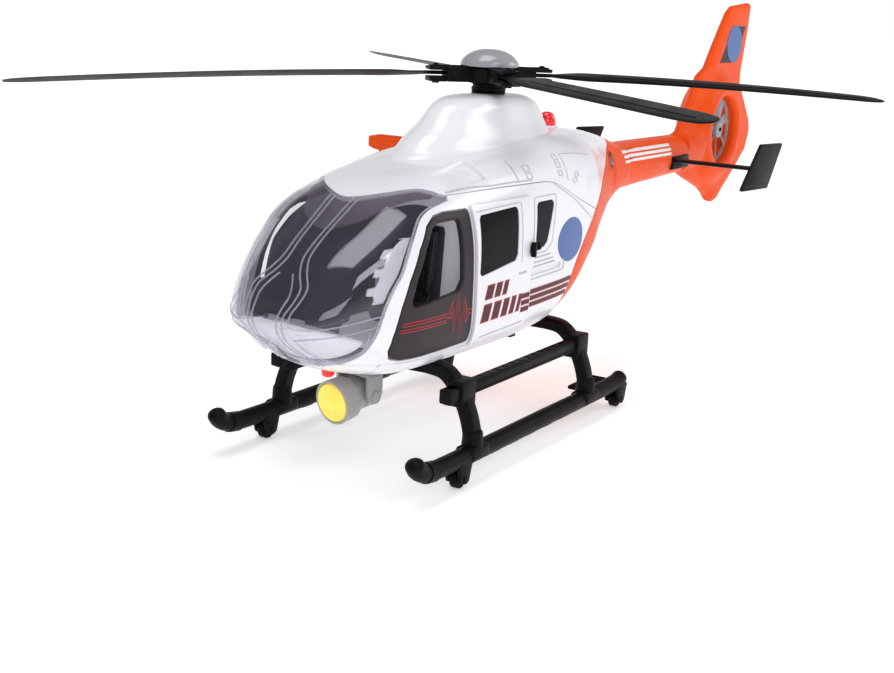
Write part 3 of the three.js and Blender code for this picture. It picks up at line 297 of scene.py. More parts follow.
def sharpen(me, deg):
    bm = bmesh.new(); bm.from_mesh(me); c = math.radians(deg)
    for e in bm.edges:
        e.smooth = not (len(e.link_faces) != 2 or e.calc_face_angle(0) > c)
    bm.to_mesh(me); bm.free()

def sheet(name, outer, P, mat, body, holes=(), spacing=3.0, er=0.35, ers=None, off=0.0, thick=2.0, disp=None, extra=None, normal=None, mirror=False, replaces=()):
    """A moulded panel on a curved surface: rounded rims, side walls and an inner face."""
    V, F, loops, phi, dire, L, E = fill(outer, holes, spacing, ers or [er] * (1 + len(holes)), extra)
    p = P(V); n = hull_normal(p) if normal is None else normal(p, V)
    t = P(V + dire * 0.08) - p; t -= n * (t * n).sum(1)[:, None]; tl = np.linalg.norm(t, axis=1)[:, None]; t = np.where(tl > 1e-9, t / np.maximum(tl, 1e-9), 0)
    nearest = np.zeros(len(V)); ervec = np.zeros(len(V))
    dl = np.array([seg_dist(V, l) for l in L]); k = dl.argmin(0); ervec = np.array(E)[k]
    depth = np.where(phi > 0, ervec * (1 - np.cos(phi)), 0.0)
    up = off - depth
    if disp is not None: up = up + disp(V)
    if disp is not None:
        q0 = p + n * up[:, None]
        top = q0
    top = p + n * up[:, None]; bot = p + n * (off - thick)
    vn = n * np.cos(phi)[:, None] + t * np.sin(phi)[:, None]
    M = len(V); c3 = np.cross(top[F[:, 1]] - top[F[:, 0]], top[F[:, 2]] - top[F[:, 0]]); s = np.sign((c3 * n[F[:, 0]]).sum(1).mean())
    if s < 0: F = F[:, ::-1]
    if disp is not None:  # normals from the displaced surface, mixed in where it is displaced
        fn = np.cross(top[F[:, 1]] - top[F[:, 0]], top[F[:, 2]] - top[F[:, 0]]); acc = np.zeros_like(top)
        for j in range(3): np.add.at(acc, F[:, j], fn)
        acc /= np.maximum(np.linalg.norm(acc, axis=1), 1e-12)[:, None]
        dd = np.abs(disp(V)); near = np.zeros(M, bool)
        for j in range(3):
            for i in range(3): near[F[:, j]] |= dd[F[:, i]] > 1e-6
        vn = np.where((near & (phi == 0))[:, None], acc, vn)
    faces = [tuple(f) for f in F] + [tuple(f[::-1] + M) for f in F]
    norms = [vn[i] for f in F for i in f] + [-n[i] for f in F for i in f[::-1]]
    for lp in loops:
        m = len(lp)
        for i in range(m):
            a, b = lp[i], lp[(i + 1) % m]
            quad = (b, a, a + M, b + M) if s > 0 else (a, b, b + M, a + M)
            faces.append(quad); norms += [t[j % M] if j >= M else vn[j] for j in quad]
    allv = np.concatenate([top, bot])
    return make(name, allv, faces, mat, body, normals=norms, mirror=mirror, replaces=replaces)

def lathe_mesh(profile, n=48, axis='Z', at=(0, 0, 0), close=True):
    """Profile of (radius, height) turned about an axis. Returns verts, faces."""
    prof = [(float(r), float(h)) for r, h in profile]; V = []; F = []; rings = []
    for r, h in prof:
        if r < 1e-6: rings.append([len(V)]); V.append((0, 0, h))
        else:
            rings.append(list(range(len(V), len(V) + n)))
            for k in range(n):
                a = 2 * math.pi * k / n; V.append((r * math.cos(a), r * math.sin(a), h))
    for A, B in zip(rings[:-1], rings[1:]):
        if len(A) == 1 and len(B) == 1: continue
        if len(A) == 1: F += [(A[0], B[(k + 1) % n], B[k]) for k in range(n)]
        elif len(B) == 1: F += [(A[k], A[(k + 1) % n], B[0]) for k in range(n)]
        else: F += [(A[k], A[(k + 1) % n], B[(k + 1) % n], B[k]) for k in range(n)]
    V = np.array(V)
    if axis == 'X': V = V[:, [2, 0, 1]]
    elif axis == 'Y': V = V[:, [1, 2, 0]]
    return V + np.array(at, float), F

def orient(V, F):
    """Turn the faces out."""
    V = np.asarray(V, float); vol = 0.0; c = V.mean(0)
    for f in F:
        for i in range(1, len(f) - 1): vol += np.dot(V[f[0]] - c, np.cross(V[f[i]] - c, V[f[i + 1]] - c))
    return [tuple(f) for f in F] if vol > 0 else [tuple(f)[::-1] for f in F]

def join(parts):
    V, F, k = [], [], 0
    for v, f in parts:
        v = np.asarray(v, float); f = orient(v, f); V.append(v); F += [tuple(i + k for i in t) for t in f]; k += len(v)
    return np.concatenate(V), F

def rbox(x0, y0, z0, x1, y1, z1, r=0.5, seg=3, only=None):
    """A box with rounded edges."""
    bm = bmesh.new(); bmesh.ops.create_cube(bm, size=1.0)
    for v in bm.verts:
        v.co = Vector(((x0 + x1) / 2 + v.co.x * (x1 - x0), (y0 + y1) / 2 + v.co.y * (y1 - y0), (z0 + z1) / 2 + v.co.z * (z1 - z0)))
    r = min(r, 0.49 * min(abs(x1 - x0), abs(y1 - y0), abs(z1 - z0)))
    bmesh.ops.bevel(bm, geom=list(bm.edges), offset=r, segments=seg, profile=0.5, affect='EDGES', clamp_overlap=True)
    V = np.array([v.co[:] for v in bm.verts]); F = [tuple(v.index for v in f.verts) for f in bm.faces]; bm.free()
    return V, F

def prism(pts, h0, h1, axis='Y', r=0.4, seg=2):
    """A polygon extruded along an axis with rounded edges. pts in (x,z) for Y, (x,y) for Z, (y,z) for X."""
    p = np.array(pts, float)
    if area2(p) < 0: p = p[::-1]
    def lift(q, h):
        if axis == 'Y': return (q[0], h, q[1])
        if axis == 'Z': return (q[0], q[1], h)
        return (h, q[0], q[1])
    bm = bmesh.new(); a = [bm.verts.new(lift(q, h0)) for q in p]; b = [bm.verts.new(lift(q, h1)) for q in p]
    bm.faces.new(a[::-1]); bm.faces.new(b)
    for i in range(len(p)): bm.faces.new((a[i], a[(i + 1) % len(p)], b[(i + 1) % len(p)], b[i]))
    bmesh.ops.recalc_face_normals(bm, faces=bm.faces[:])
    if r > 0:
        es = [e for e in bm.edges if e.calc_face_angle(0) > 0.5]
        bmesh.ops.bevel(bm, geom=es, offset=r, segments=seg, profile=0.5, affect='EDGES', clamp_overlap=True)
    bm.verts.index_update()
    V = np.array([v.co[:] for v in bm.verts]); F = [tuple(v.index for v in f.verts) for f in bm.faces]; bm.free()
    return V, F

def rcyl(r, h0, h1, axis='Z', at=(0, 0, 0), n=40, e=0.4, r2=None):
    """A cylinder with rounded rims."""
    r2 = r if r2 is None else r2; s = 1 if h1 > h0 else -1; e = min(e, abs(h1 - h0) * 0.45, r * 0.6, r2 * 0.6); pr = [(0, h0)]
    for k in range(4): a = k * math.pi / 6; pr.append((r - e + e * math.sin(a), h0 + s * e * (1 - math.cos(a))))
    for k in range(4): a = k * math.pi / 6; pr.append((r2 - e + e * math.cos(a), h1 - s * e * (1 - math.sin(a))))
    pr.append((0, h1))
    return lathe_mesh(pr, n, axis, at)

def sweep(path, section, up=(0, 0, 1), caps=True, scale=None, round_ends=0.0):
    """A closed section swept along a path. section: (across, up) offsets. scale: per-point factors."""
    P = np.array(path, float); n = len(P); T = np.gradient(P, axis=0); T /= np.linalg.norm(T, axis=1)[:, None]; S = np.array(section, float); m = len(S)
    U = np.array(up, float); V = []
    for i in range(n):
        a = np.cross(T[i], U); a /= max(np.linalg.norm(a), 1e-9); b = np.cross(a, T[i]); s = 1.0 if scale is None else scale[i]
        V += [P[i] + (a * q[0] + b * q[1]) * s for q in S]
    F = [(i * m + k, i * m + (k + 1) % m, (i + 1) * m + (k + 1) % m, (i + 1) * m + k) for i in range(n - 1) for k in range(m)]
    if caps: F += [tuple(range(m))[::-1], tuple((n - 1) * m + k for k in range(m))]
    return np.array(V), F

def superoval(a, b, n=2.0, k=24):
    out = []
    for i in range(k):
        t = 2 * math.pi * i / k; c, s = math.cos(t), math.sin(t)
        out.append((a * np.sign(c) * abs(c) ** (2 / n), b * np.sign(s) * abs(s) ** (2 / n)))
    return out

def rot(V, axis, deg, at=(0, 0, 0)):
    a = math.radians(deg); c, s = math.cos(a), math.sin(a); k = 'XYZ'.index(axis); i, j = [(1, 2), (2, 0), (0, 1)][k]
    W = np.array(V, float) - at; X = W.copy(); X[:, i] = c * W[:, i] - s * W[:, j]; X[:, j] = s * W[:, i] + c * W[:, j]
    return X + at

def solid(name, parts, mat, body, sharp=35, replaces=(), slot=None, mirror=False, bevel=0.0, flat=False):
    V, F = join(parts if isinstance(parts, list) else [parts])
    o = make(name, V, F, mat, body, sharp=sharp, replaces=replaces, mirror=mirror, flat=flat)
    return o

def cut(V, F, cutters, op='DIFFERENCE'):
    """Boolean on point and face lists with other point and face lists."""
    def tmp(v, f):
        me = bpy.data.meshes.new('t'); f = orient(v, f); me.from_pydata(np.asarray(v).tolist(), [], f); me.update()
        bm = bmesh.new(); bm.from_mesh(me); bmesh.ops.triangulate(bm, faces=[q for q in bm.faces if len(q.verts) > 4]); bm.to_mesh(me); bm.free()
        o = bpy.data.objects.new('t', me); bpy.context.scene.collection.objects.link(o); return o
    a = tmp(V, F); kill = [a]
    for c in cutters:
        b = tmp(*c); kill.append(b); m = a.modifiers.new('b', 'BOOLEAN'); m.object = b; m.operation = op; m.solver = 'MANIFOLD'
    me = bpy.data.meshes.new_from_object(a.evaluated_get(bpy.context.evaluated_depsgraph_get()))
    v = np.array([x.co[:] for x in me.vertices]); f = [tuple(p.vertices) for p in me.polygons]
    for o in kill: bpy.data.objects.remove(o)
    return v, f

# ------------------------------------------------------------ materials
class NT:
    def __init__(self, name):
        self.m = bpy.data.materials.new(name); self.m.use_nodes = True; self.t = self.m.node_tree; self.t.nodes.clear()
        self.out = self.n('ShaderNodeOutputMaterial'); self.tc = self.n('ShaderNodeTexCoord')
        self.obj = self.tc.outputs['Object']
    def n(self, kind, **kw):
        x = self.t.nodes.new(kind)
        for k, v in kw.items(): setattr(x, k, v)
        return x
    def link(self, a, b): self.t.links.new(a, b)
    def noise(self, scale, detail=3.0, rough=0.55, vec=None, w=0.0):
        x = self.n('ShaderNodeTexNoise', noise_dimensions='3D'); x.inputs['Scale'].default_value = scale; x.inputs['Detail'].default_value = detail; x.inputs['Roughness'].default_value = rough
        self.link(vec or self.obj, x.inputs['Vector']); return x.outputs['Fac']
    def ramp(self, fac, stops, interp='LINEAR'):
        r = self.n('ShaderNodeValToRGB'); cr = r.color_ramp; cr.interpolation = interp
        while len(cr.elements) < len(stops): cr.elements.new(0.5)
        for e, (p, c) in zip(cr.elements, stops):
            e.position = p; e.color = (*c, 1) if len(c) == 3 else c
        self.link(fac, r.inputs['Fac']); return r.outputs['Color']
    def maprange(self, v, a, b, c, d, clamp=True):
        r = self.n('ShaderNodeMapRange', clamp=clamp)
        for k, q in zip(('From Min', 'From Max', 'To Min', 'To Max'), (a, b, c, d)): r.inputs[k].default_value = q
        self.link(v, r.inputs['Value']); return r.outputs['Result']
    def math(self, op, a, b=None):
        r = self.n('ShaderNodeMath', operation=op)
        for i, q in enumerate((a, b)):
            if q is None: continue
            if isinstance(q, (int, float)): r.inputs[i].default_value = q
            else: self.link(q, r.inputs[i])
        return r.outputs[0]
    def bump(self, layers):
        """layers: (height socket, strength, distance in metres)"""
        last = None
        for h, s, d in layers:
            b = self.n('ShaderNodeBump'); b.inputs['Strength'].default_value = s; b.inputs['Distance'].default_value = d
            self.link(h, b.inputs['Height'])
            if last is not None: self.link(last, b.inputs['Normal'])
            last = b.outputs['Normal']
        return last

def srgb(h):
    v = [int(h[i:i + 2], 16) / 255 for i in (0, 2, 4)]
    return tuple(c / 12.92 if c <= 0.04045 else ((c + 0.055) / 1.055) ** 2.4 for c in v)

def plastic(name, col, rough=0.3, spec=0.5, grain=0.0, grain_scale=2600, wave=0.0, wave_scale=26, vary=0.05, rvary=0.08, coat=0.0, sss=0.0, dust=0.0, metal=0.0, emit=None, trans=0.0, ior=1.46, scratch=0.0):
    """Moulded plastic: colour drift, uneven gloss, surface grain or flow marks from the mould, and dust in a noise
    pattern.
    """
    t = NT(name); b = t.n('ShaderNodeBsdfPrincipled'); t.link(b.outputs[0], t.out.inputs['Surface'])
    c = np.array(col); lo = tuple(np.clip(c * (1 - vary), 0, 1)); hi = tuple(np.clip(c * (1 + vary), 0, 1))
    big = t.noise(14, 4, 0.6); fine = t.noise(420, 3, 0.6)
    colr = t.ramp(big, [(0.3, lo), (0.5, tuple(c)), (0.72, hi)])
    if dust:
        d = t.maprange(t.math('MULTIPLY', t.noise(38, 5, 0.7), fine), 0.24, 0.42, 0.0, dust)
        mx = t.n('ShaderNodeMix', data_type='RGBA'); t.link(d, mx.inputs['Factor']); t.link(colr, mx.inputs[6]); mx.inputs[7].default_value = (0.42, 0.41, 0.40, 1); colr = mx.outputs[2]
    t.link(colr, b.inputs['Base Color'])
    rv = t.maprange(t.math('ADD', t.math('MULTIPLY', t.noise(55, 5, 0.65), 0.7), t.math('MULTIPLY', fine, 0.3)), 0.3, 0.7, rough * (1 - rvary * 1.6), rough * (1 + rvary * 1.6))
    t.link(rv, b.inputs['Roughness'])
    b.inputs['Specular IOR Level'].default_value = spec; b.inputs['IOR'].default_value = ior; b.inputs['Metallic'].default_value = metal
    if coat: b.inputs['Coat Weight'].default_value = coat; b.inputs['Coat Roughness'].default_value = 0.06
    if sss:
        b.inputs['Subsurface Weight'].default_value = sss; b.inputs['Subsurface Radius'].default_value = (1, 0.8, 0.7); b.inputs['Subsurface Scale'].default_value = 0.0015
    if trans: b.inputs['Transmission Weight'].default_value = trans
    layers = []
    if wave: layers.append((t.noise(wave_scale, 2, 0.4), wave, 0.0012))
    if grain:
        v = t.n('ShaderNodeTexVoronoi'); v.inputs['Scale'].default_value = grain_scale; t.link(t.obj, v.inputs['Vector'])
        layers.append((v.outputs['Distance'], grain, 0.00012))
    layers.append((t.noise(1500, 2, 0.5), 0.015 + scratch, 0.00005))
    nm = t.bump(layers); t.link(nm, b.inputs['Normal'])
    if coat: t.link(nm, b.inputs['Coat Normal'])
    if emit: b.inputs['Emission Color'].default_value = (*emit[0], 1); b.inputs['Emission Strength'].default_value = emit[1]
    return t.m

MATS['white'] = plastic('white_gloss_plastic', (0.835, 0.835, 0.885), 0.22, 0.5, wave=0.05, wave_scale=20, vary=0.012, rvary=0.22, coat=0.25, sss=0.04)
MATS['orange'] = plastic('orange_plastic', (0.86, 0.078, 0.004), 0.42, 0.16, wave=0.03, wave_scale=24, vary=0.05, rvary=0.15, coat=0.03)
MATS['black'] = plastic('black_satin_plastic', (0.0036, 0.0032, 0.0042), 0.42, 0.10, grain=0.08, grain_scale=2400, vary=0.2, rvary=0.14, dust=0.006)
MATS['black_gloss'] = plastic('black_gloss_plastic', (0.006, 0.006, 0.007), 0.16, 0.5, vary=0.2, rvary=0.2, wave=0.03)
MATS['grey_door'] = plastic('door_grey_plastic', (0.034, 0.027, 0.030), 0.38, 0.20, grain=0.07, vary=0.07, rvary=0.12)
MATS['seam'] = plastic('seam_shadow_grey', (0.30, 0.30, 0.32), 0.5, 0.3, vary=0.1)
MATS['pane'] = plastic('dark_window_pane', (0.004, 0.003, 0.0035), 0.16, 0.07, wave=0.02, vary=0.2, rvary=0.3)
MATS['interior'] = plastic('interior_grey_plastic', (0.30, 0.30, 0.32), 0.45, 0.4, grain=0.08, vary=0.05)
# Pale interior plastic with a faint painted glow: the emission lifts the shaded cabin and nose interior, and is no
# lamp.
MATS['interior_pale'] = plastic('pale_interior_painted_glow', (0.78, 0.78, 0.82), 0.4, 0.4, grain=0.05, vary=0.03, emit=((0.85, 0.86, 0.93), 0.16))
MATS['navy'] = plastic('dash_navy_plastic', (0.0050, 0.0055, 0.020), 0.34, 0.14, wave=0.0, vary=0.15, rvary=0.1)
MATS['seat'] = plastic('seat_black_plastic', (0.010, 0.010, 0.012), 0.45, 0.4, grain=0.10, grain_scale=1700, vary=0.2)
MATS['fan'] = plastic('fan_grey_plastic', (0.33, 0.34, 0.37), 0.28, 0.5, vary=0.05, trans=0.12)
MATS['dome'] = plastic('dome_smoke_grey', (0.34, 0.345, 0.375), 0.20, 0.5, vary=0.04, coat=0.5, trans=0.10)
MATS['red_lens'] = plastic('red_lens_plastic', (0.62, 0.006, 0.012), 0.10, 0.5, vary=0.06, trans=0.25, coat=0.5, emit=((1.0, 0.02, 0.03), 0.30))
MATS['yellow_lens'] = plastic('yellow_lens_plastic', (0.86, 0.70, 0.10), 0.16, 0.5, vary=0.05, trans=0.15, coat=0.4, emit=((1.0, 0.84, 0.20), 0.24))
MATS['lamp'] = plastic('lamp_grey_plastic', (0.36, 0.355, 0.34), 0.36, 0.5, grain=0.05, vary=0.05)
MATS['hook'] = plastic('hook_red_plastic', (0.20, 0.012, 0.014), 0.32, 0.5, vary=0.08)
MATS['steel'] = plastic('brushed_steel', (0.55, 0.55, 0.56), 0.26, 0.5, metal=1.0, vary=0.06, scratch=0.2, rvary=0.3)
MATS['brass'] = plastic('turned_brass', (0.62, 0.42, 0.16), 0.26, 0.5, metal=1.0, vary=0.08, scratch=0.15, rvary=0.3)
MATS['motor'] = plastic('motor_case_steel', (0.42, 0.42, 0.44), 0.3, 0.5, metal=1.0, vary=0.08, scratch=0.2)
MATS['battery'] = plastic('battery_sleeve', (0.04, 0.05, 0.12), 0.3, 0.5, vary=0.1)
MATS['circuit'] = plastic('circuit_green_board', (0.012, 0.12, 0.04), 0.35, 0.5, grain=0.2, grain_scale=900, vary=0.3)
MATS['speaker'] = plastic('speaker_black_cone', (0.02, 0.02, 0.02), 0.6, 0.3, grain=0.3, grain_scale=900, vary=0.2)
MATS['gear'] = plastic('gear_white_nylon', (0.72, 0.72, 0.68), 0.4, 0.4, vary=0.03, sss=0.1)
MATS['maroon'] = plastic('maroon_print', (0.075, 0.006, 0.014), 0.35, 0.25, vary=0.06, rvary=0.1)
MATS['red_print'] = plastic('red_print', (0.4056, 0.0096, 0.0160), 0.3, 0.5, vary=0.05)
MATS['white_print'] = plastic('white_print', (0.82, 0.82, 0.84), 0.28, 0.5, vary=0.02)
MATS['black_print'] = plastic('black_print', (0.006, 0.006, 0.007), 0.35, 0.22, vary=0.15)
MATS['blue_print'] = plastic('blue_print', (0.02, 0.10, 0.36), 0.3, 0.5, vary=0.05)
MATS['yellow_print'] = plastic('yellow_print', (0.80, 0.62, 0.05), 0.3, 0.5, vary=0.04)

def rope_mat():
    t = NT('twisted_black_cord'); b = t.n('ShaderNodeBsdfPrincipled'); t.link(b.outputs[0], t.out.inputs['Surface'])
    w = t.n('ShaderNodeTexWave', wave_type='BANDS', bands_direction='DIAGONAL'); w.inputs['Scale'].default_value = 900; w.inputs['Distortion'].default_value = 1.5; t.link(t.obj, w.inputs['Vector'])
    t.link(t.ramp(w.outputs['Fac'], [(0.2, (0.008, 0.008, 0.009)), (0.8, (0.035, 0.033, 0.035))]), b.inputs['Base Color'])
    b.inputs['Roughness'].default_value = 0.75; b.inputs['Sheen Weight'].default_value = 0.3
    t.link(t.bump([(w.outputs['Fac'], 0.8, 0.0002), (t.noise(3000, 3), 0.4, 0.0001)]), b.inputs['Normal']); return t.m
MATS['cord'] = rope_mat()

def glass(name, tint, gloss_rough=0.02, haze=0.05, haze_col=(0.40, 0.37, 0.50), edge=0.0):
    """Thin tinted clear plastic: seen through, glossy by its angle, with faint haze and flow lines."""
    t = NT(name); tr = t.n('ShaderNodeBsdfTransparent'); gl = t.n('ShaderNodeBsdfAnisotropic') if False else t.n('ShaderNodeBsdfGlossy'); df = t.n('ShaderNodeBsdfDiffuse')
    lo = tuple(c * 0.93 for c in tint); col = t.ramp(t.noise(9, 3), [(0.3, lo), (0.7, tint)]); t.link(col, tr.inputs['Color'])
    gl.inputs['Color'].default_value = (0.95, 0.95, 1.0, 1)
    t.link(t.maprange(t.noise(90, 5, 0.7), 0.35, 0.7, gloss_rough, gloss_rough + 0.05), gl.inputs['Roughness'])
    df.inputs['Color'].default_value = (*haze_col, 1)
    nm = t.bump([(t.noise(9, 1, 0.3), 0.05, 0.0015)])
    t.link(nm, gl.inputs['Normal'])
    hz = t.n('ShaderNodeMixShader'); t.link(t.maprange(t.noise(30, 4, 0.6), 0.3, 0.75, haze * 0.8, haze * 1.25), hz.inputs['Fac']); t.link(tr.outputs[0], hz.inputs[1]); t.link(df.outputs[0], hz.inputs[2])
    lw = t.n('ShaderNodeLayerWeight'); lw.inputs['Blend'].default_value = 0.5; t.link(nm, lw.inputs['Normal']); fr = t.n('ShaderNodeMath'); fr.operation = 'POWER'; fr.inputs[1].default_value = 4.6; t.link(lw.outputs['Facing'], fr.inputs[0])
    mx = t.n('ShaderNodeMixShader'); t.link(t.maprange(fr.outputs[0], 0.0, 1.0, 0.04, 0.92), mx.inputs['Fac']); t.link(hz.outputs[0], mx.inputs[1]); t.link(gl.outputs[0], mx.inputs[2])
    t.link(mx.outputs[0], t.out.inputs['Surface']); return t.m
# Grey for the raised panel lines on the white shell: painted shade along the lines, the moulding itself is white.
MATS['line'] = plastic('panel_line_painted_shade', (0.50, 0.51, 0.56), 0.4, 0.35, vary=0.05)
MATS['glass'] = glass('smoke_clear_windshield', (0.945, 0.938, 0.955), haze=0.02)
MATS['glass_rib'] = glass('smoke_clear_rib', (0.80, 0.79, 0.85), haze=0.30, haze_col=(0.70, 0.69, 0.76), gloss_rough=0.04)
# Darker lavender clear layer: painted shade under the roof edge of the windshield.
MATS['glass_roof_shade'] = glass('roof_edge_shade_band', (0.46, 0.42, 0.50), haze=0.42, haze_col=(0.24, 0.20, 0.27), gloss_rough=0.08)

BASE = {'windshield': 'glass', 'cabin_shell': 'white', 'roof_cowling': 'white', 'belly_pan': 'white', 'battery_cover': 'white', 'battery_cover_screw': 'steel', 'battery_1': 'battery', 'battery_2': 'battery',
 'circuit_board': 'circuit', 'speaker': 'speaker', 'power_switch': 'black', 'cabin_tub': 'interior_pale', 'instrument_panel': 'navy', 'cockpit_seats': 'seat', 'tail_shell_left': 'orange', 'tail_shell_right': 'orange',
 'fan_bracket': 'black', 'tail_fan': 'fan', 'stabilizer': 'black', 'front_strut': 'black', 'rear_strut': 'black', 'skid_left': 'black', 'skid_right': 'black', 'step_bar_left': 'black', 'step_bar_right': 'black',
 'beacon_lens': 'red_lens', 'belly_light_lens': 'red_lens', 'winch_arm': 'orange', 'winch_drum': 'black', 'winch_cord': 'cord', 'winch_hook': 'hook', 'spotlight_yoke': 'lamp', 'spotlight_head': 'lamp', 'spotlight_lens': 'yellow_lens',
 'gearbox_frame': 'interior', 'rotor_motor': 'motor', 'motor_pinion': 'brass', 'mast_gear': 'gear', 'rotor_mast': 'black', 'rotor_hub': 'black', 'hub_dome': 'dome'}
for nname, o in NODES.items():
    key = BASE.get(nname) or ('grey_door' if nname.startswith('front_door') else 'white' if nname.startswith('slide_door') else 'pane' if 'window' in nname else 'black')
    o.data.materials.clear(); o.data.materials.append(MATS[key])

# ------------------------------------------------------------ seams
GE, TE, CL, TG = spline(GLASS_EDGE, 1.3), spline(TAIL_EDGE, 1.5), spline(COWL_LINE, 1.5), spline(TONGUE, 1.2)
def meet(a, b):
    """Where two open polylines cross: index in a, index in b, point."""
    for i in range(len(a) - 1):
        r = a[i + 1] - a[i]
        for j in range(len(b) - 1):
            s = b[j + 1] - b[j]; d = r[0] * s[1] - r[1] * s[0]
            if abs(d) < 1e-12: continue
            w = b[j] - a[i]; t = (w[0] * s[1] - w[1] * s[0]) / d; u = (w[0] * r[1] - w[1] * r[0]) / d
            if -1e-9 <= t <= 1 and -1e-9 <= u <= 1: return i, j, a[i] + t * r
    raise ValueError('no crossing')
iC, iT, CT = meet(CL, TE)
ge = GE[GE[:, 1] > BELLY_Z + 0.4]; geb = np.array([np.interp(BELLY_Z, GE[:, 1], GE[:, 0]), BELLY_Z])
te_low = TE[iT + 1:]; te_low = te_low[te_low[:, 1] > BELLY_Z + 0.4]; teb = np.array([np.interp(-BELLY_Z, -TE[:, 1], TE[:, 0]), BELLY_Z])
cl = CL[(CL[:, 0] < 200.5) & (CL[:, 0] > CT[0] + 0.5)]
SHELL = np.concatenate([dense([teb, geb], 2.0)[:0], [teb + a * (geb - teb) for a in np.linspace(0, 1, 84)], ge, cl, [CT], te_low])
SHELL = grow(SHELL, -0.15)
DOORWAY = [(146.5, 126), (146.5, 91.4), (100, 91.4), (100, 88.6), (146.5, 88.6), (146.5, 70), (184.5, 70), (184.5, 126)]
def rl(p, r, step=1.4): return dense(fillet(p, r), step)
DOOR_R, SDOOR_R = rl(DOOR, 2.5), rl(SDOOR, 1.6)
DWIN_R, SWIN_R, RWIN_R = rl(DOOR_WIN, 2.2, 1.2), rl(SWIN, 1.4, 1.2), rl(RWIN, 1.6, 1.2)

def plus(p, q):  # returns the outline points unchanged
    return p
def shell_disp(q):
    """No displacement: gives zero for every point."""
    x, z = q[:, 0], q[:, 1]; d = np.zeros(len(q))
    return d
for side, mir in (('left', False), ('right', True)):
    sheet('shell_side_' + side, SHELL, P_side, 'white', 'airframe', holes=[grow(DOOR_R, 0.2), dense(DOORWAY, 1.6), grow(RWIN_R, 0.1)], spacing=2.6, ers=[0.3, 0.35, 0.25, 0.3], thick=2.4, mirror=mir, replaces='cabin_shell')
    # sliding door and its pane
    sheet('slide_panel_' + side, SDOOR_R, P_side, 'white', 'slide_door_' + side, holes=[SWIN_R], spacing=2.6, ers=[0.6, 0.35], off=2.0, thick=1.65, mirror=mir, replaces='slide_door_' + side)
    sheet('slide_pane_' + side, grow(SWIN_R, -0.12), P_side, 'pane', 'slide_door_' + side, spacing=3, er=0.2, off=1.55, thick=1.0, mirror=mir, replaces='slide_window_' + side)
    # front door with window hole
    sheet('front_door_panel_' + side, grow(DOOR_R, -0.35), P_side, 'grey_door', 'front_door_' + side, holes=[DWIN_R], spacing=2.6, ers=[0.5, 0.9], thick=2.5, mirror=mir, replaces='front_door_' + side)
    sheet('rear_pane_' + side, grow(RWIN_R, -0.1), P_side, 'pane', 'airframe', spacing=3, er=0.25, off=-0.15, thick=1.8, mirror=mir, replaces='rear_window_' + side)

# ------------------------------------------------------------ roof cowling
def top_path():
    out = [(229.2, 0.0)]
    tg = TG[::-1]; tg = tg[(tg[:, 0] < 229.1) & (tg[:, 0] > 203.2)]
    for x, y in tg: out.append((x, v_of_y(x, y, True)))
    for x, z in [(200.2, 135.4)] + [tuple(p) for p in CL[CL[:, 0] < 199.5] if p[0] > CT[0] + 0.5]: out.append((x, v_of_z(x, z, True)))
    out.append((CT[0], v_of_z(CT[0], CT[1], True)))
    for x, z in TE[:iT + 1][::-1]:
        if z < fzt(x) - 0.12: out.append((x, v_of_z(x, z, True)))
    xe = out[-1][0]; out.append((xe - 0.1, 0.0)); return np.array(out)
TP = top_path(); TPm = TP[1:-1][::-1] * (1, -1)
COWL = grow(np.concatenate([TP, TPm]), -0.15)
def scoop(q):
    x, v = q[:, 0], np.abs(q[:, 1]); y = P_top(q)[:, 1]; y = np.abs(y)
    t = np.clip((199.0 - x) / 32.0, 0, 1); ex = np.clip((x - 166.3) / 0.5, 0, 1)
    ey = np.clip((37.6 - y) / 1.2, 0, 1) * np.clip((y - 24.5) / 1.2, 0, 1)
    return -4.6 * (t ** 1.15) * ex * ey * (x < 199)
ex = []
for v in np.arange(20, 52, 0.8):
    for x in (166.0, 166.35, 166.8): ex += [(x, v), (x, -v)]
for x in np.arange(167.6, 198, 1.6):
    ys = (24.4, 25.1, 25.9, 36.2, 37.0, 37.8)
    for y in ys:
        v = v_of_y(x, y, True); ex += [(x, v), (x, -v)]
sheet('cowling_skin', COWL, P_top, 'white', 'airframe', spacing=2.6, er=0.35, thick=2.2, disp=scoop, extra=ex, replaces='roof_cowling')

FAIR = [[149, 46.5, 180, 21.5], [156, 49.6, 173, 19.5], [160, 52.5, 166.5, 17.8], [165, 56, 158.4, 16.4], [170, 61.5, 152.5, 15.2], [173.2, 68, 147, 13.6], [175.4, 78, 139.5, 11.0], [176.2, 90, 130, 7.0]]
def fairing():
    Z = [f[0] for f in FAIR]; fs = [Pchip(Z, [f[k] for f in FAIR]) for k in (1, 2, 3)]
    zs = list(np.linspace(143.5, 149, 4)) + list(np.linspace(149, 171, 22))[1:] + list(np.linspace(171, 176.2, 12))[1:]; V = []; n = 96
    for z in zs:
        zz = max(z, 149); xr, xf, w = [float(f(zz)) for f in fs]; fl = 3.0 * max(0, (152 - max(z, 147)) / 5) ** 2
        xr -= fl * 0.7; xf += fl * 2.0; w += fl; cx, a = (xr + xf) / 2, (xf - xr) / 2
        for k in range(n):
            t = 2 * math.pi * k / n; c, s = math.cos(t), math.sin(t)
            V.append((cx + a * np.sign(c) * abs(c) ** 0.72, w * np.sign(s) * abs(s) ** 0.8, z))
    F = [(i * n + k, i * n + (k + 1) % n, (i + 1) * n + (k + 1) % n, (i + 1) * n + k) for i in range(len(zs) - 1) for k in range(n)]
    F += [tuple(range(n))[::-1], tuple((len(zs) - 1) * n + k for k in range(n))]
    return np.array(V), F
V, F = fairing(); solid('mast_fairing', (V, F), 'white', 'airframe', sharp=50, slot='shell_white')
solid('mast_collar_ring', lathe_mesh([(0, 176.0), (8.6, 176.0), (9.2, 176.5), (9.0, 177.1), (6.2, 177.6), (0, 177.6)], 48, 'Z', (MAST_X, 0, 0)), 'black', 'airframe', slot='plastic_black')

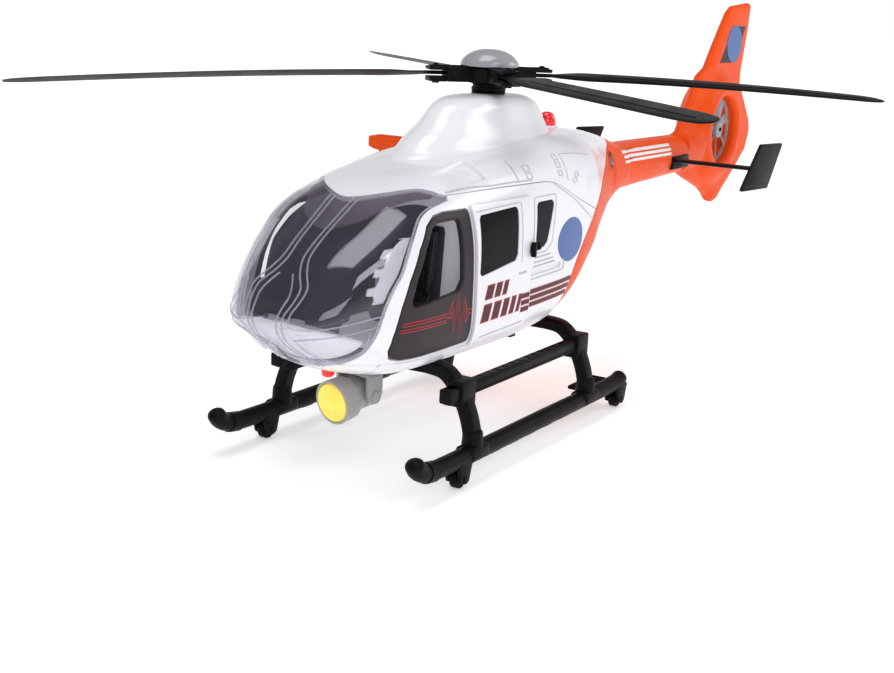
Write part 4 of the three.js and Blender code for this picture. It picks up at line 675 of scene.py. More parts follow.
def on_fair(z, t):
    """Point and outward direction on the fairing at height z and angle t."""
    Z = [f[0] for f in FAIR]; xr, xf, w = [float(Pchip(Z, [f[k] for f in FAIR])(z)) for k in (1, 2, 3)]; cx, a = (xr + xf) / 2, (xf - xr) / 2
    c, s = math.cos(t), math.sin(t); return np.array((cx + a * np.sign(c) * abs(c) ** 0.72, w * np.sign(s) * abs(s) ** 0.8, z))

# ------------------------------------------------------------ raised lines and thin prints on a surface
def ribbon(P, path, width, height, base=-0.25, step=1.5, nrm=None):
    """A low raised line along a path on a surface: four-sided section with soft top corners."""
    q = np.array(path, float)
    if len(q) > 1: q = np.concatenate([[a + (b - a) * j / max(1, int(np.linalg.norm(b - a) / step)) for j in range(max(1, int(np.linalg.norm(b - a) / step)))] for a, b in zip(q[:-1], q[1:])] + [[q[-1]]])
    p = P(q); n = hull_normal(p) if nrm is None else nrm(p); T = np.gradient(p, axis=0); T /= np.linalg.norm(T, axis=1)[:, None]; S = np.cross(T, n)
    prof = [(-0.5, base), (-0.5, height * 0.55), (-0.36, height), (0.36, height), (0.5, height * 0.55), (0.5, base)]; m = len(prof); V = []
    for i in range(len(p)):
        for a, h in prof: V.append(p[i] + S[i] * a * width + n[i] * h)
    F = [(i * m + k, i * m + (k + 1) % m, (i + 1) * m + (k + 1) % m, (i + 1) * m + k) for i in range(len(p) - 1) for k in range(m)] + [tuple(range(m))[::-1], tuple((len(p) - 1) * m + k for k in range(m))]
    return np.array(V), F

def mirror_part(part):
    V, F = part; V = np.array(V, float).copy(); V[:, 1] *= -1; return V, [tuple(f)[::-1] for f in F]
def both_sides(parts): return parts + [mirror_part(p) for p in parts]

# ------------------------------------------------------------ belly pan and chin strap
def bot_v(x, z): return v_of_z(x, z, False)
def belly():
    xs = list(np.arange(94.5, 246.9, 2.0)) + [246.7]; left = [(x, bot_v(x, BELLY_Z)) for x in xs]
    return np.array(left)
bl = belly(); tail_x = []
for v in np.linspace(1, 0, 12)[1:]:
    tail_x.append(v)
te_pts = TE[TE[:, 1] < BELLY_Z + 0.2]
rear = [(x, bot_v(x, z)) for x, z in te_pts if z > fzb(x) + 0.1]
xr0 = rear[-1][0] if rear else 97.5
port = np.array([(xr0 + 1.2, 0.0)] + rear[::-1] + [tuple(p) for p in bl if p[0] > teb[0] + 1.0] + [(246.7, 0.0)])
BELLY = np.concatenate([port, port[1:-1][::-1] * (1, -1)])
COVER = dense(fillet([(118, -23.2), (188, -23.2), (188, 23.2), (118, 23.2)], 3), 2)
sheet('belly_skin', grow(BELLY, -0.12), P_bot, 'white', 'airframe', spacing=3.0, er=0.3, thick=2.0, replaces='belly_pan', holes=[grow(COVER, 0.25)])
strap_x = np.linspace(247.0, 259.2, 8)
sp = [(247.0, 0.0)] + [(247.0, v) for v in np.linspace(2, bot_v(247.0, BELLY_Z), 18)] + [(x, bot_v(x, BELLY_Z)) for x in strap_x[1:-1]] + [(259.2, bot_v(259.2, BELLY_Z))] + [(259.3, v) for v in np.linspace(bot_v(259.2, BELLY_Z) - 2, 1, 12)] + [(259.3, 0)]
sp = np.array(sp); STRAP = np.concatenate([sp, sp[1:-1][::-1] * (1, -1)])
sheet('chin_strap', grow(STRAP, -0.1), P_bot, 'white', 'airframe', spacing=2.4, er=0.3, thick=2.2)
sheet('battery_door', COVER, P_bot, 'white', 'airframe', spacing=3, er=0.4, off=0.25, thick=1.8, replaces='battery_cover')

# ------------------------------------------------------------ windshield
def snap(p):
    """Moves points onto the hull along its normal."""
    p = np.array(p, float)
    for _ in range(8):
        f = hullF(p); g = np.zeros_like(p); e = 0.05
        for k in range(3):
            d = np.zeros(3); d[k] = e; g[:, k] = (hullF(p + d) - hullF(p - d)) / (2 * e)
        gg = np.maximum((g ** 2).sum(1), 1e-9); p = p - g * (np.clip(f, -0.2, 0.2) / gg)[:, None]
        p[:, 0] = np.minimum(p[:, 0], 287.3)
    return p
gx = lambda z: np.interp(z, GE[:, 1], GE[:, 0]); tgs = TG[np.argsort(TG[:, 1])]; tx = lambda y: np.interp(y, tgs[:, 1], tgs[:, 0])
def ring_pt(x, c, s):
    zc, w = fzc(x), fw(x); up = s >= 0; n = fnt(x) if up else fnb(x); h = (fzt(x) - zc) if up else (zc - fzb(x))
    m = (abs(c) ** n + abs(s) ** n) ** (1 / n)
    return np.array((x, w * c / m, zc + h * s / m))
def seam_x(c, s, pad=0.15):
    lo, hi = 195.0, 287.0
    for _ in range(34):
        x = (lo + hi) / 2; p = ring_pt(x, c, s)
        b = float(tx(abs(p[1]))) if p[2] > 133.2 and s > 0 else float(gx(p[2])) if p[2] > 50 else 259.5
        if p[2] > 131.5 and s > 0: b = max(b, float(tx(abs(p[1])))) if abs(p[1]) < 34 else b
        if x > b + pad: hi = x
        else: lo = x
    return hi
def skin_grid(nphi, ns, off, bound, tip=287.35, power=1.7, z_lo=None):
    """Rings of points on the nose, from the tip back to a boundary given per direction."""
    ph = 2 * math.pi * np.arange(nphi) / nphi
    cs = [(math.copysign(abs(math.cos(a)) ** 0.9, math.cos(a)), math.copysign(abs(math.sin(a)) ** 0.9, math.sin(a))) for a in ph]
    xb = [bound(c, s) for c, s in cs]; rows = []
    for j in range(ns + 1):
        t = (j / ns) ** power; pts = [ring_pt(tip - (tip - b) * t if j else tip, c, s) for (c, s), b in zip(cs, xb)]; rows.append(np.array(pts))
    return rows, cs
def windshield():
    n, m = 144, 46; rows, cs = skin_grid(n, m, 0, seam_x); tipc = np.array([[287.5, 0, float(fzc(287.5))]])
    out = np.concatenate(rows + [tipc]); N = hull_normal(out); N[-1] = (1, 0, 0); ntip = len(out) - 1
    N[:n] = N[:n] * 0.3 + np.array((1, 0, 0)) * 0.7; N /= np.linalg.norm(N, axis=1)[:, None]
    er = 0.45; V = out.copy(); bot = out - N * 1.5
    F = []; Nn = []
    k = lambda j, i: j * n + i % n
    for i in range(n): F.append((ntip, k(0, i), k(0, i + 1)))
    for j in range(m):
        for i in range(n): F.append((k(j, i), k(j + 1, i), k(j + 1, i + 1), k(j, i + 1)))
    M = len(V); allF = F + [tuple(q + M for q in f)[::-1] for f in F]
    for i in range(n): allF.append((k(m, i), k(m, i) + M, k(m, i + 1) + M, k(m, i + 1)))
    P = np.concatenate([V, bot]); NN = np.concatenate([N, -N])
    v = P[allF[200][0]]; c3 = np.cross(P[allF[300][1]] - P[allF[300][0]], P[allF[300][2]] - P[allF[300][0]])
    if c3 @ N[allF[300][0]] < 0: allF = [f[::-1] for f in allF]
    norms = []
    for f in allF[:2 * len(F)]: norms += [NN[q] for q in f]
    for f in allF[2 * len(F):]:
        fc = np.cross(P[f[1]] - P[f[0]], P[f[2]] - P[f[0]]); fc /= max(np.linalg.norm(fc), 1e-9); norms += [fc] * 4
    return make('windshield_skin', P, allF, 'glass', 'airframe', normals=norms, replaces='windshield')
windshield()
def rib(path, w=1.0, h=0.55):
    q = spline(path, 2.0); return ribbon(lambda a: snap(a), q, w, h, base=-0.2, step=9)
PILLAR = [(228.6, 5.6, 133.6), (236, 5.0, 129.6), (244.6, 4.7, 124.3), (257.3, 4.2, 116.0), (265.5, 4.2, 109.2), (270.8, 7.0, 103.7), (276.2, 11.6, 97.8), (281.2, 11.4, 92.7), (284.9, 9.8, 88), (286, 9.3, 83.4), (282.6, 8.4, 76.4), (272.6, 8.9, 68.4), (265.0, 11.0, 63.6), (260.4, 13.2, 60.6)]
PILLAR2 = [(228.8, 8.4, 133.4), (236, 7.8, 129.4), (244.6, 7.3, 124), (257, 6.9, 115.9), (264.6, 7.2, 109.6), (269.6, 10.2, 104), (274.8, 14.4, 98.2), (279.8, 13.9, 92.6), (283.4, 12.2, 88), (284.6, 11.6, 84.6)]
PILLAR3 = [(271.8, 3.6, 103.6), (275.5, 6.4, 99.6), (279.6, 8.2, 95.2), (283.2, 7.6, 91), (286.1, 6.9, 86.5), (286.6, 6.6, 83), (283.2, 5.8, 76.4), (273.2, 6.4, 68.2), (265.4, 8.4, 63.2), (260.6, 10.6, 60.0)]
HOR1 = [(284.6, 11.2, 83.6), (283.0, 18.8, 82.6), (274.9, 29.2, 83.9), (264.0, 36.4, 86.1), (254.0, 40.9, 87.6)]
HOR2 = [(280.8, 12.4, 77.4), (279.8, 19.4, 78.4), (273.0, 29.9, 79.8), (263.1, 36.9, 81.8), (256.4, 40.2, 83.0)]
CHIN = [(279.6, 13.2, 76.2), (273.2, 13.2, 69.6), (266.0, 17.0, 64.6), (262.2, 24.0, 63.6), (260.6, 30.4, 66.4), (259.8, 34.4, 72.4), (259.6, 36.2, 80.6)]
EDGE = [(x + 1.3, 0, z) for x, z in GLASS_EDGE if 64 < z < 131]
def edge_rib():
    q = np.array([(x + 1.2, half(x + 1.2, z), z) for x, z in GE if 63 < z < 131.5]); return ribbon(lambda a: snap(a), q, 0.9, 0.4, base=-0.2, step=9)
for i, (nm, ribs) in enumerate({'pillar': [PILLAR, PILLAR2, PILLAR3], 'crossbar': [HOR1, HOR2], 'chin': [CHIN]}.items()):
    parts = both_sides([rib(r, 0.72 if nm != 'chin' else 0.6, 0.42 if nm != 'chin' else 0.25) for r in ribs])
    solid('windshield_rib_' + nm, parts, 'glass_rib', 'airframe', sharp=60, slot='clear_windshield')
solid('windshield_rim', both_sides([edge_rib()]), 'glass_rib', 'airframe', sharp=60, slot='clear_windshield')

# ------------------------------------------------------------ cockpit liner behind the windshield
def teeth(z):
    k = (z - 94.0) / 4.6
    return 3.4 if (93 < z < 122 and int(math.floor(k)) % 2 == 0) else 0.0
def bowl(name, mat, ph0, ph1, T, bound, n, m, lim=None, xmax=274.0, slot='dash_navy', rep=()):
    """Inner skin that follows the nose a distance T inside the clear shell."""
    ph = np.linspace(ph0, ph1, n); cs = [(math.cos(a), math.sin(a)) for a in ph]; xb = [bound(c, s) for c, s in cs]; tip = 286.6; rows = []
    for j in range(m + 1):
        t = (j / m) ** 1.6; rows.append(np.array([ring_pt(tip - (tip - b) * t, c, s) for (c, s), b in zip(cs, xb)]))
    top = np.concatenate(rows); N = hull_normal(top); A = top - N * T; B = top - N * (T + 1.6)
    A[:, 0] = np.minimum(A[:, 0], xmax); B[:, 0] = np.minimum(B[:, 0], xmax - 1.7)
    if lim:
        for Q, o in ((A, 0.0), (B, 1.6)):
            L = lim(Q[:, 0]) - o; Q[:, 1] = np.sign(Q[:, 1]) * np.minimum(np.abs(Q[:, 1]), L)
    k = lambda j, i: j * n + i; M = len(A); F = []
    for j in range(m):
        for i in range(n - 1): F.append((k(j, i), k(j + 1, i), k(j + 1, i + 1), k(j, i + 1)))
    allF = F + [tuple(q + M for q in f)[::-1] for f in F]
    for i in range(n - 1): allF += [(k(m, i), k(m, i) + M, k(m, i + 1) + M, k(m, i + 1)), (k(0, i + 1), k(0, i + 1) + M, k(0, i) + M, k(0, i))]
    for j in range(m): allF += [(k(j, 0), k(j, 0) + M, k(j + 1, 0) + M, k(j + 1, 0)), (k(j + 1, n - 1), k(j + 1, n - 1) + M, k(j, n - 1) + M, k(j, n - 1))]
    solid(name, (np.concatenate([A, B]), allF), mat, 'airframe', sharp=42, slot=slot, **({'replaces': rep} if rep else {}))
def liner_edge(c, s):
    x = seam_x(c, s); p = ring_pt(x, c, s); side = np.clip((p[2] - 92) / 4, 0, 1) * np.clip((128 - p[2]) / 4, 0, 1)
    return x + 3.5 + 5.5 * side if s > 0.02 else x + 5.5
def liner_lim(x): return 12.5 + 0.60 * (272.0 - np.minimum(x, 271.9)) + 1.5 * np.clip((274 - x) / 3, 0, 1)
bowl('cockpit_liner', 'navy', -0.46, math.pi + 0.46, 7.0, liner_edge, 260, 34, lim=liner_lim, rep='instrument_panel')
# Pale skin just inside the lower nose: painted reflection standing for the pale highlights in the clear chin, with a
# painted glow from its material.
bowl('chin_reflection_bowl', 'interior_pale', math.pi + 0.40, 2 * math.pi - 0.40, 2.7, lambda c, s: seam_x(c, s) + 2.0, 90, 20, xmax=283.0, slot='interior_grey')
# A darker clear strip just inside the top of the windshield: painted shade where the roof overlaps the glass.
def roof_edge_shade_band():
    n, m = 110, 10; ph = np.linspace(0.29 * math.pi, 0.71 * math.pi, n); V = []; W = []
    for a in ph:
        c, s = math.cos(a), math.sin(a); x0 = seam_x(c, s) + 0.9; w = 17.5 * min(1, max(0.10, (s - 0.78) / 0.16)) ** 0.8
        V.append([ring_pt(x0 + w * j / m, c, s) for j in range(m + 1)])
    top = np.array(V).reshape(-1, 3); N = hull_normal(top); A = top - N * 1.9; B = top - N * 2.7; k = lambda i, j: i * (m + 1) + j; M = len(A); F = []
    for i in range(n - 1):
        for j in range(m): F.append((k(i, j), k(i + 1, j), k(i + 1, j + 1), k(i, j + 1)))
    allF = F + [tuple(q + M for q in f)[::-1] for f in F]
    for i in range(n - 1): allF += [(k(i, 0), k(i, 0) + M, k(i + 1, 0) + M, k(i + 1, 0)), (k(i + 1, m), k(i + 1, m) + M, k(i, m) + M, k(i, m))]
    for j in range(m): allF += [(k(0, j + 1), k(0, j + 1) + M, k(0, j) + M, k(0, j)), (k(n - 1, j), k(n - 1, j) + M, k(n - 1, j + 1) + M, k(n - 1, j + 1))]
    solid('roof_edge_shade_band', (np.concatenate([A, B]), allF), 'glass_roof_shade', 'airframe', sharp=50, slot='clear_windshield')
roof_edge_shade_band()
def frame_strip():
    """Pale inner frame with a stepped front edge, between the liner and the edge of the clear shell."""
    q = [(x + 0.8, z) for x, z in GE if 92 < z < 122]; zs = [z for _, z in q]; lo, hi = min(zs), max(zs); w = []
    for z in np.linspace(hi, lo, 60):
        u = (z - lo) / (hi - lo); tooth = 3.2 if int(math.floor(u * 7)) % 2 else 0.0
        w.append((float(np.interp(z, GE[:, 1], GE[:, 0])) + 3.0 + 6.5 * math.sin(math.pi * min(1, max(0.06, u))) ** 0.5 + tooth, z))
    return np.array(q + w) if q[0][1] < q[-1][1] else np.array(q[::-1] + w)
for side, mir in (('left', False), ('right', True)):
    sheet('inner_frame_' + side, frame_strip(), P_side, 'white', 'airframe', spacing=1.6, er=0.2, off=-3.0, thick=1.2, mirror=mir)
GAP = [(249.7, -12.4, 120.8), (238.3, -16.9, 127.8), (232.4, -17.5, 131.4), (229.3, -10.0, 133.3), (237.1, -5.7, 129.0), (244.1, -3.1, 124.6)]

# ------------------------------------------------------------ tail: cone, boom, fin and fan shroud as two moulded halves
FIN = [(-152, 128), (-157, 138.5), (-176, 163), (-187.5, 179.5), (-200.5, 184.9), (-213.5, 201.5), (-233.5, 223.5), (-240, 227.2), (-274.5, 230.4), (-272, 206.7), (-264.6, 178.6), (-264.6, 172.4), (-274.5, 162.4), (-289.6, 145.6), (-293.05, 137.5), (-292.6, 131), (-286.4, 118.4), (-273.6, 109.5), (-256.3, 98.4), (-243.6, 90.8), (-236.5, 85.6), (-230.4, 84.2), (-224, 85.8), (-218, 90.6), (-205, 97.2), (-176.7, 106.4), (-154.4, 114.6)]
BOOM = np.array([[-30, 14.2, 125.2, 14.4], [-50, 14.0, 125.15, 14.6], [-80, 13.7, 125.6, 14.0], [-120, 13.2, 125.9, 13.3], [-165, 12.7, 126.4, 12.6], [-186, 12.4, 131, 17], [-202, 10.5, 134, 21]])[::-1]
bw, bz, bh = [Pchip(BOOM[:, 0], BOOM[:, k]) for k in (1, 2, 3)]
def tail_outline():
    te = TE[(TE[:, 1] < fzt(TE[:, 0]) - 0.6) & (TE[:, 1] > fzb(TE[:, 0]) + 0.6)]; out = []
    out += [tuple(p) for p in te[::-1]]                              # bottom to top of the seam
    x = te[0][0] - 0.5; xs = np.arange(x - 1.0, -49, -2.0); out += [(x, float(fzt(x)) - 0.1) for x in xs]
    out += [(x, float(bz(x) + bh(x)) - 0.05) for x in np.arange(-52, -151, -2.5) ]
    fin = fillet(FIN, [2 if i in (0, 1) else 4 if 7 <= i <= 8 else 3 for i in range(len(FIN))]); fin = dense(fin, 2.0)
    fin = [p for p in fin]; # closed list starts at FIN[0]
    cut_i = [i for i, p in enumerate(fin) if not (p[0] > -153.0)]
    out += [tuple(fin[i]) for i in cut_i]
    out += [(x, float(bz(x) - bh(x)) + 0.05) for x in np.arange(-151, -51, 2.5)]
    out += [(x, float(fzb(x)) + 0.1) for x in np.arange(-49.5, te[-1][0] - 0.5, 2.0)]
    return np.array(out)
TAIL = tail_outline(); FINP = np.array(FIN)
finr = dense(fillet(FIN, 3), 2.5)
def H(q):
    x, z = q[:, 0], q[:, 1]; p = 5.0; parts = []
    hull_h = np.where(x > -50.5, half(np.maximum(x, -49.99), z), 0)
    a = 1 - np.clip(np.abs(z - bz(x)) / bh(x), 0, 1) ** 2.5; boom_h = np.where(x < -20, bw(x) * np.clip(a, 0, None) ** (1 / 2.5), 0) * np.clip((x + 206) / 26, 0, 1)
    f = inside(q, finr); d = np.where(f, seg_dist(q, finr), 0)
    t = np.clip(d / 7.0, 0, 1); fin_h = 5.2 * np.sqrt(np.clip(1 - (1 - t) ** 2, 0, 1)) * (0.82 + 0.18 * np.clip((200 - z) / 60, 0, 1))
    r = np.hypot(x - FAN_X, z - FAN_Z); u = np.clip((r - 29.5) / 17.5, 0, 1); sm = 1 - u * u * (3 - 2 * u); shr = 13.0 * sm
    lip = np.clip((r - DUCT_R) / 3.0, 0, 1); shr = np.where(r < DUCT_R + 3, 13.0 - 3.0 * (1 - np.sqrt(np.clip(1 - (1 - lip) ** 2, 0, 1))), shr)
    edge = np.sqrt(np.clip(1 - (1 - np.clip(d / 9.0, 0, 1)) ** 2, 0, 1)); shr = shr * np.where(r < 60, edge, 0)
    s = np.maximum(hull_h, 0) ** p + np.maximum(boom_h, 0) ** p + fin_h ** p + shr ** p
    near = r < DUCT_R + 6
    return np.where(near, np.maximum(shr, 0.4), np.maximum(s ** (1 / p), 0.4))
def Hn(q, side=1):
    e = 0.35; gx_ = (H(q + (e, 0)) - H(q - (e, 0))) / (2 * e); gz = (H(q + (0, e)) - H(q - (0, e))) / (2 * e)
    n = np.column_stack([-gx_, np.ones(len(q)), -gz]); return n / np.linalg.norm(n, axis=1)[:, None]
def P_tail(q): return np.column_stack([q[:, 0], H(q), q[:, 1]])
def tail_half(name, body, mirror, reps):
    duct = [(FAN_X + DUCT_R * math.cos(a), FAN_Z + DUCT_R * math.sin(a)) for a in np.linspace(0, 2 * math.pi, 97)[:-1]]
    V, F, loops, phi, dire, L, E = fill(grow(TAIL, -0.15), [duct], 2.6, [3.4, 3.0])
    y = H(V); n = Hn(V); b = phi > 1.5; n[b] = np.column_stack([dire[b, 0], np.full(b.sum(), 0.35), dire[b, 1]]); n /= np.linalg.norm(n, axis=1)[:, None]
    top = np.column_stack([V[:, 0], y, V[:, 1]]); bot = np.column_stack([V[:, 0], np.full(len(V), 0.15), V[:, 1]]); M = len(V)
    c3 = np.cross(top[F[:, 1]] - top[F[:, 0]], top[F[:, 2]] - top[F[:, 0]]); s = np.sign(c3[:, 1].mean())
    if s < 0: F = F[:, ::-1]
    fn = np.cross(top[F[:, 1]] - top[F[:, 0]], top[F[:, 2]] - top[F[:, 0]]); fl = np.linalg.norm(fn, axis=1)[:, None]; acc = np.zeros_like(top)
    for j in range(3): np.add.at(acc, F[:, j], fn / np.sqrt(np.maximum(fl, 1e-9)))
    acc /= np.maximum(np.linalg.norm(acc, axis=1), 1e-9)[:, None]; n[~b] = acc[~b]
    faces = [tuple(f) for f in F] + [tuple(f[::-1] + M) for f in F]; norms = [n[i] for f in F for i in f] + [(0, -1, 0)] * (3 * len(F))
    for lp in loops:
        m = len(lp)
        for i in range(m):
            a, c = lp[i], lp[(i + 1) % m]; quad = (c, a, a + M, c + M) if s > 0 else (a, c, c + M, a + M); faces.append(quad)
            norms += [(dire[j % M][0], 0, dire[j % M][1]) for j in quad]
    return make(name, np.concatenate([top, bot]), faces, 'orange', body, normals=norms, mirror=mirror, replaces=reps)
tail_half('tail_half_left', 'airframe', False, 'tail_shell_left')
tail_half('tail_half_right', 'airframe', True, 'tail_shell_right')

# ------------------------------------------------------------ fan
def fan():
    parts = [rcyl(6.2, 2.3, 8.6, 'Y', (FAN_X, 0, FAN_Z), 48, 1.2), lathe_mesh([(21.5, 4.6), (23.0, 4.6), (23.2, 4.8), (23.2, 6.0), (23.0, 6.2), (21.5, 6.2), (21.5, 4.6)], 72, 'Y', (FAN_X, 0, FAN_Z))]
    for i in range(7):
        V = []; n = 9
        for j in range(n):
            r = 5.4 + (21.9 - 5.4) * j / (n - 1); tw = math.radians(48 - 26 * j / (n - 1)); c = 2.3 + 1.6 * j / (n - 1); sw = 0.10 * (j / (n - 1)) ** 2
            for u, h in ((-1, 0), (-0.6, 0.42), (0.1, 0.55), (0.7, 0.34), (1, 0), (0.6, -0.3), (0, -0.36), (-0.6, -0.3)):
                a, b = u * c, h; ty, tt = a * math.sin(tw) * 0.62 + b * math.cos(tw), a * math.cos(tw) - b * math.sin(tw); ang = sw + tt / r
                V.append((r * math.cos(ang), 5.4 + ty, r * math.sin(ang)))
        F = [(j * 8 + k, j * 8 + (k + 1) % 8, (j + 1) * 8 + (k + 1) % 8, (j + 1) * 8 + k) for j in range(n - 1) for k in range(8)] + [tuple(range(8))[::-1], tuple((n - 1) * 8 + k for k in range(8))]
        parts.append((rot(V, 'Y', 360 / 7 * i) + np.array((FAN_X, 0, FAN_Z)), F))
    solid('tail_fan_rotor', parts, 'fan', 'fan', sharp=40, replaces='tail_fan', slot='fan_grey')
fan()
solid('fan_cross_bracket', [prism([(-222.5, 112.9), (-212.5, 112.9), (-213.4, 118), (-214.4, 134.6), (-219.6, 134.6), (-221.6, 118)], -1.9, 1.9, 'Y', 0.5), rcyl(5.0, -1.9, 1.9, 'Y', (FAN_X, 0, FAN_Z), 40, 0.4), rcyl(1.5, -9.5, 9.5, 'Y', (FAN_X, 0, FAN_Z), 24, 0.3)], 'black', 'airframe', replaces='fan_bracket', slot='plastic_black')

# ------------------------------------------------------------ stabiliser
def endplate(y0, y1):
    return prism(fillet([(-139.1, 139.3), (-181, 137.6), (-157.3, 108.8), (-107.3, 110.8)], 1.6, 4), y0, y1, 'Y', 0.5)
def saddle():
    V, F = prism(fillet([(-14.4, 118.4), (14.4, 118.4), (14.4, 127.2), (-14.4, 127.2)], 1.2, 4), -148.2, -120.8, 'X', 0.6); return V, F
bar = sweep([(-127, y, 124.3) for y in np.linspace(-66.8, 66.8, 40)], [(a, b) for a, b in superoval(5.45, 1.3, 2.3, 24)])
lines = [ribbon(lambda q: np.column_stack([q[:, 0], np.full(len(q), 68.6), q[:, 1]]), [a, b], 0.7, 0.18, base=-0.3, step=60, nrm=lambda p: np.tile((0.0, 1.0, 0.0), (len(p), 1))) for a, b in (((-136, 136.2), (-173.5, 135)), ((-157.5, 112), (-113.5, 113.6)))]
lugs = [rcyl(2.6, -14.9, 14.9, 'Y', (-134.5, 0, 122.8), 32, 0.5)]
solid('stabiliser_plane', [saddle(), bar, endplate(66.4, 68.6), endplate(-68.6, -66.4)] + both_sides(lines) + lugs, 'black', 'airframe', replaces='stabilizer', slot='plastic_black')

# ------------------------------------------------------------ landing gear
ARCH = [(58.3, 12.2), (58.1, 20), (56.4, 28.5), (53.6, 36), (50.2, 42.2), (46.6, 47.2), (41.5, 51.2), (35, 52.4), (18, 52.4), (0, 52.4)]
def arch(x):
    h = spline(ARCH, 1.5); y = np.concatenate([h, h[:-1][::-1] * (-1, 1)]); path = [(x, a, b) for a, b in y]
    return sweep(path, [(b, a) for a, b in superoval(4.3, 3.5, 5, 28)], up=(1, 0, 0))
for i, nm in enumerate(('front', 'rear')):
    x = STRUT_X[i]; pads = []
    for s in (1, -1):
        pads += [rbox(x - 8.6, s * SKID_Y - 5.3, 11.2, x + 8.6, s * SKID_Y + 5.3, 18.6, 2.4, 4), rcyl(5.4, 15.0, 25.5, 'Z', (x, s * 58.0, 0), 36, 1.2, 4.9)]
        pads += [rbox(x - 6.4, s * 50.6 - 4.6, 36.6, x + 6.4, s * 50.6 + 4.6, 49.4, 1.0, 3)]
    pads += [rbox(x - 6.2, -12, 50.0, x + 6.2, 12, 55.6, 0.8, 3), rcyl(1.9, 48.4, 49.6, 'Z', (x, 0, 0), 28, 0.4)]
    solid('arch_' + nm, [arch(x)] + pads, 'black', 'airframe', replaces=nm + '_strut', slot='plastic_black')
SK = [(252.8, 24), (250.4, 19.4), (245.5, 16.2), (238, 14.6), (228, 14.2), (140, 14.2), (52, 14.3), (42, 14.9), (35.2, 16.8)]
def skid(s):
    q = spline(SK, 2.0); d = np.concatenate([[0], np.cumsum(np.hypot(*np.diff(q, axis=0).T))]); L = d[-1]; R = 3.2
    ds = sorted(set(list(np.linspace(0, R, 6)) + list(np.linspace(R, L - R, 90)) + list(np.linspace(L - R, L, 6))))
    path = [(np.interp(t, d, q[:, 0]), s * SKID_Y, np.interp(t, d, q[:, 1])) for t in ds]
    sc = [math.sqrt(max(0.03, 1 - (1 - min(1, min(t, L - t) / R)) ** 2)) for t in ds]
    parts = [sweep(path, superoval(SKID_R, SKID_R, 2.0, 28), up=(0, 1, 0), scale=sc)]
    parts.append(rcyl(5.3, 0, 1, 'Z', (0, 0, 0), 8) if False else sweep([(x, s * SKID_Y, np.interp(x, q[::-1, 0], q[::-1, 1])) for x in np.linspace(243.2, 236.5, 6)], superoval(5.05, 5.05, 2, 32), up=(0, 1, 0)))
    for wx in WHEEL_X:
        for o in (-3.6, 3.6):
            y = s * SKID_Y + o; parts.append(prism(fillet([(wx - 6.4, 13.5), (wx + 6.4, 13.5), (wx + 3.4, 2.8), (wx - 3.4, 2.8)], [0, 0, 2.4, 2.4], 6), y - 0.9, y + 0.9, 'Y', 0.3))
            parts.append(rcyl(1.9, y + (0.8 if o > 0 else -0.8), y + (1.35 if o > 0 else -1.35), 'Y', (wx, 0, 4.5), 24, 0.3))
        parts.append(rcyl(1.1, s * SKID_Y - 3.6, s * SKID_Y + 3.6, 'Y', (wx, 0, 4.5), 20, 0.2))
    if True:
        a, b = (43.8, 58.3) if s > 0 else (-58.3, -43.8)
        parts.append(rbox(45, a, 14.6, 75, b, 16.8, 0.6, 2))
        for k in range(7): parts.append(rbox(47.5 + 4.0 * k, a + 1.4 if s > 0 else a + 4.2, 16.5, 48.9 + 4.0 * k, b - 4.2 if s > 0 else b - 1.4, 17.35, 0.35, 2))
    for k in range(5): parts.append(rbox(104 + 18 * k, s * SKID_Y - 1.2, 9.1, 113 + 18 * k, s * SKID_Y + 1.2, 9.95, 0.3, 2))
    return parts
for s, nm in ((1, 'left'), (-1, 'right')):
    solid('skid_tube_' + nm, skid(s), 'black', 'airframe', replaces='skid_' + nm, slot='plastic_black')
    y0, y1 = (47.3, 53.9) if s > 0 else (-53.9, -47.3); out = 1 if s > 0 else -1; yo = s * 53.9
    bar_parts = [rbox(76.5, y0 + 0.3, 40.5, 214.5, y1 - 0.3, 47.0, 0.9, 3)]
    for xa, xb in ((205.4, 216.5), (74.5, 84.5)):
        bar_parts += [rbox(xa, y0, 39.8, xb, y1, 47.0, 1.1, 3), rbox(xa + 2.4, y0 + 1.2, 38.9, xb - 2.4, y1 - 1.2, 40.6, 0.4, 2)]
    for k in range(15): bar_parts.append(rbox(91 + 7.6 * k, y0 + 1.1, 46.6, 92.7 + 7.6 * k, y1 - 1.1, 47.28, 0.3, 2))
    yy = sorted((s * 53.2, s * 54.05)); bar_parts += [rbox(88, yy[0], 41.4, 202, yy[1], 42.2, 0.25, 2), rbox(88, yy[0], 45.2, 202, yy[1], 46.0, 0.25, 2)]
    solid('step_rail_' + nm, bar_parts, 'black', 'airframe', replaces='step_bar_' + nm, slot='plastic_black')
    for i, w in enumerate(('front', 'rear')):
        wp = [lathe_mesh([(1.25, -2.3), (3.7, -2.3), (4.3, -2.0), (4.5, -1.5), (4.5, -0.5), (4.28, -0.35), (4.28, 0.35), (4.5, 0.5), (4.5, 1.5), (4.3, 2.0), (3.7, 2.3), (3.2, 2.3), (3.0, 1.9), (1.9, 1.9), (1.7, 2.3), (1.25, 2.3), (1.25, -2.3)], 40, 'Y', (WHEEL_X[i], s * SKID_Y, 4.5))]
        solid('roller_%s_%s' % (w, nm), wp, 'black', 'wheel_%s_%s' % (w, nm), replaces='wheel_%s_%s' % (w, nm), slot='plastic_black')

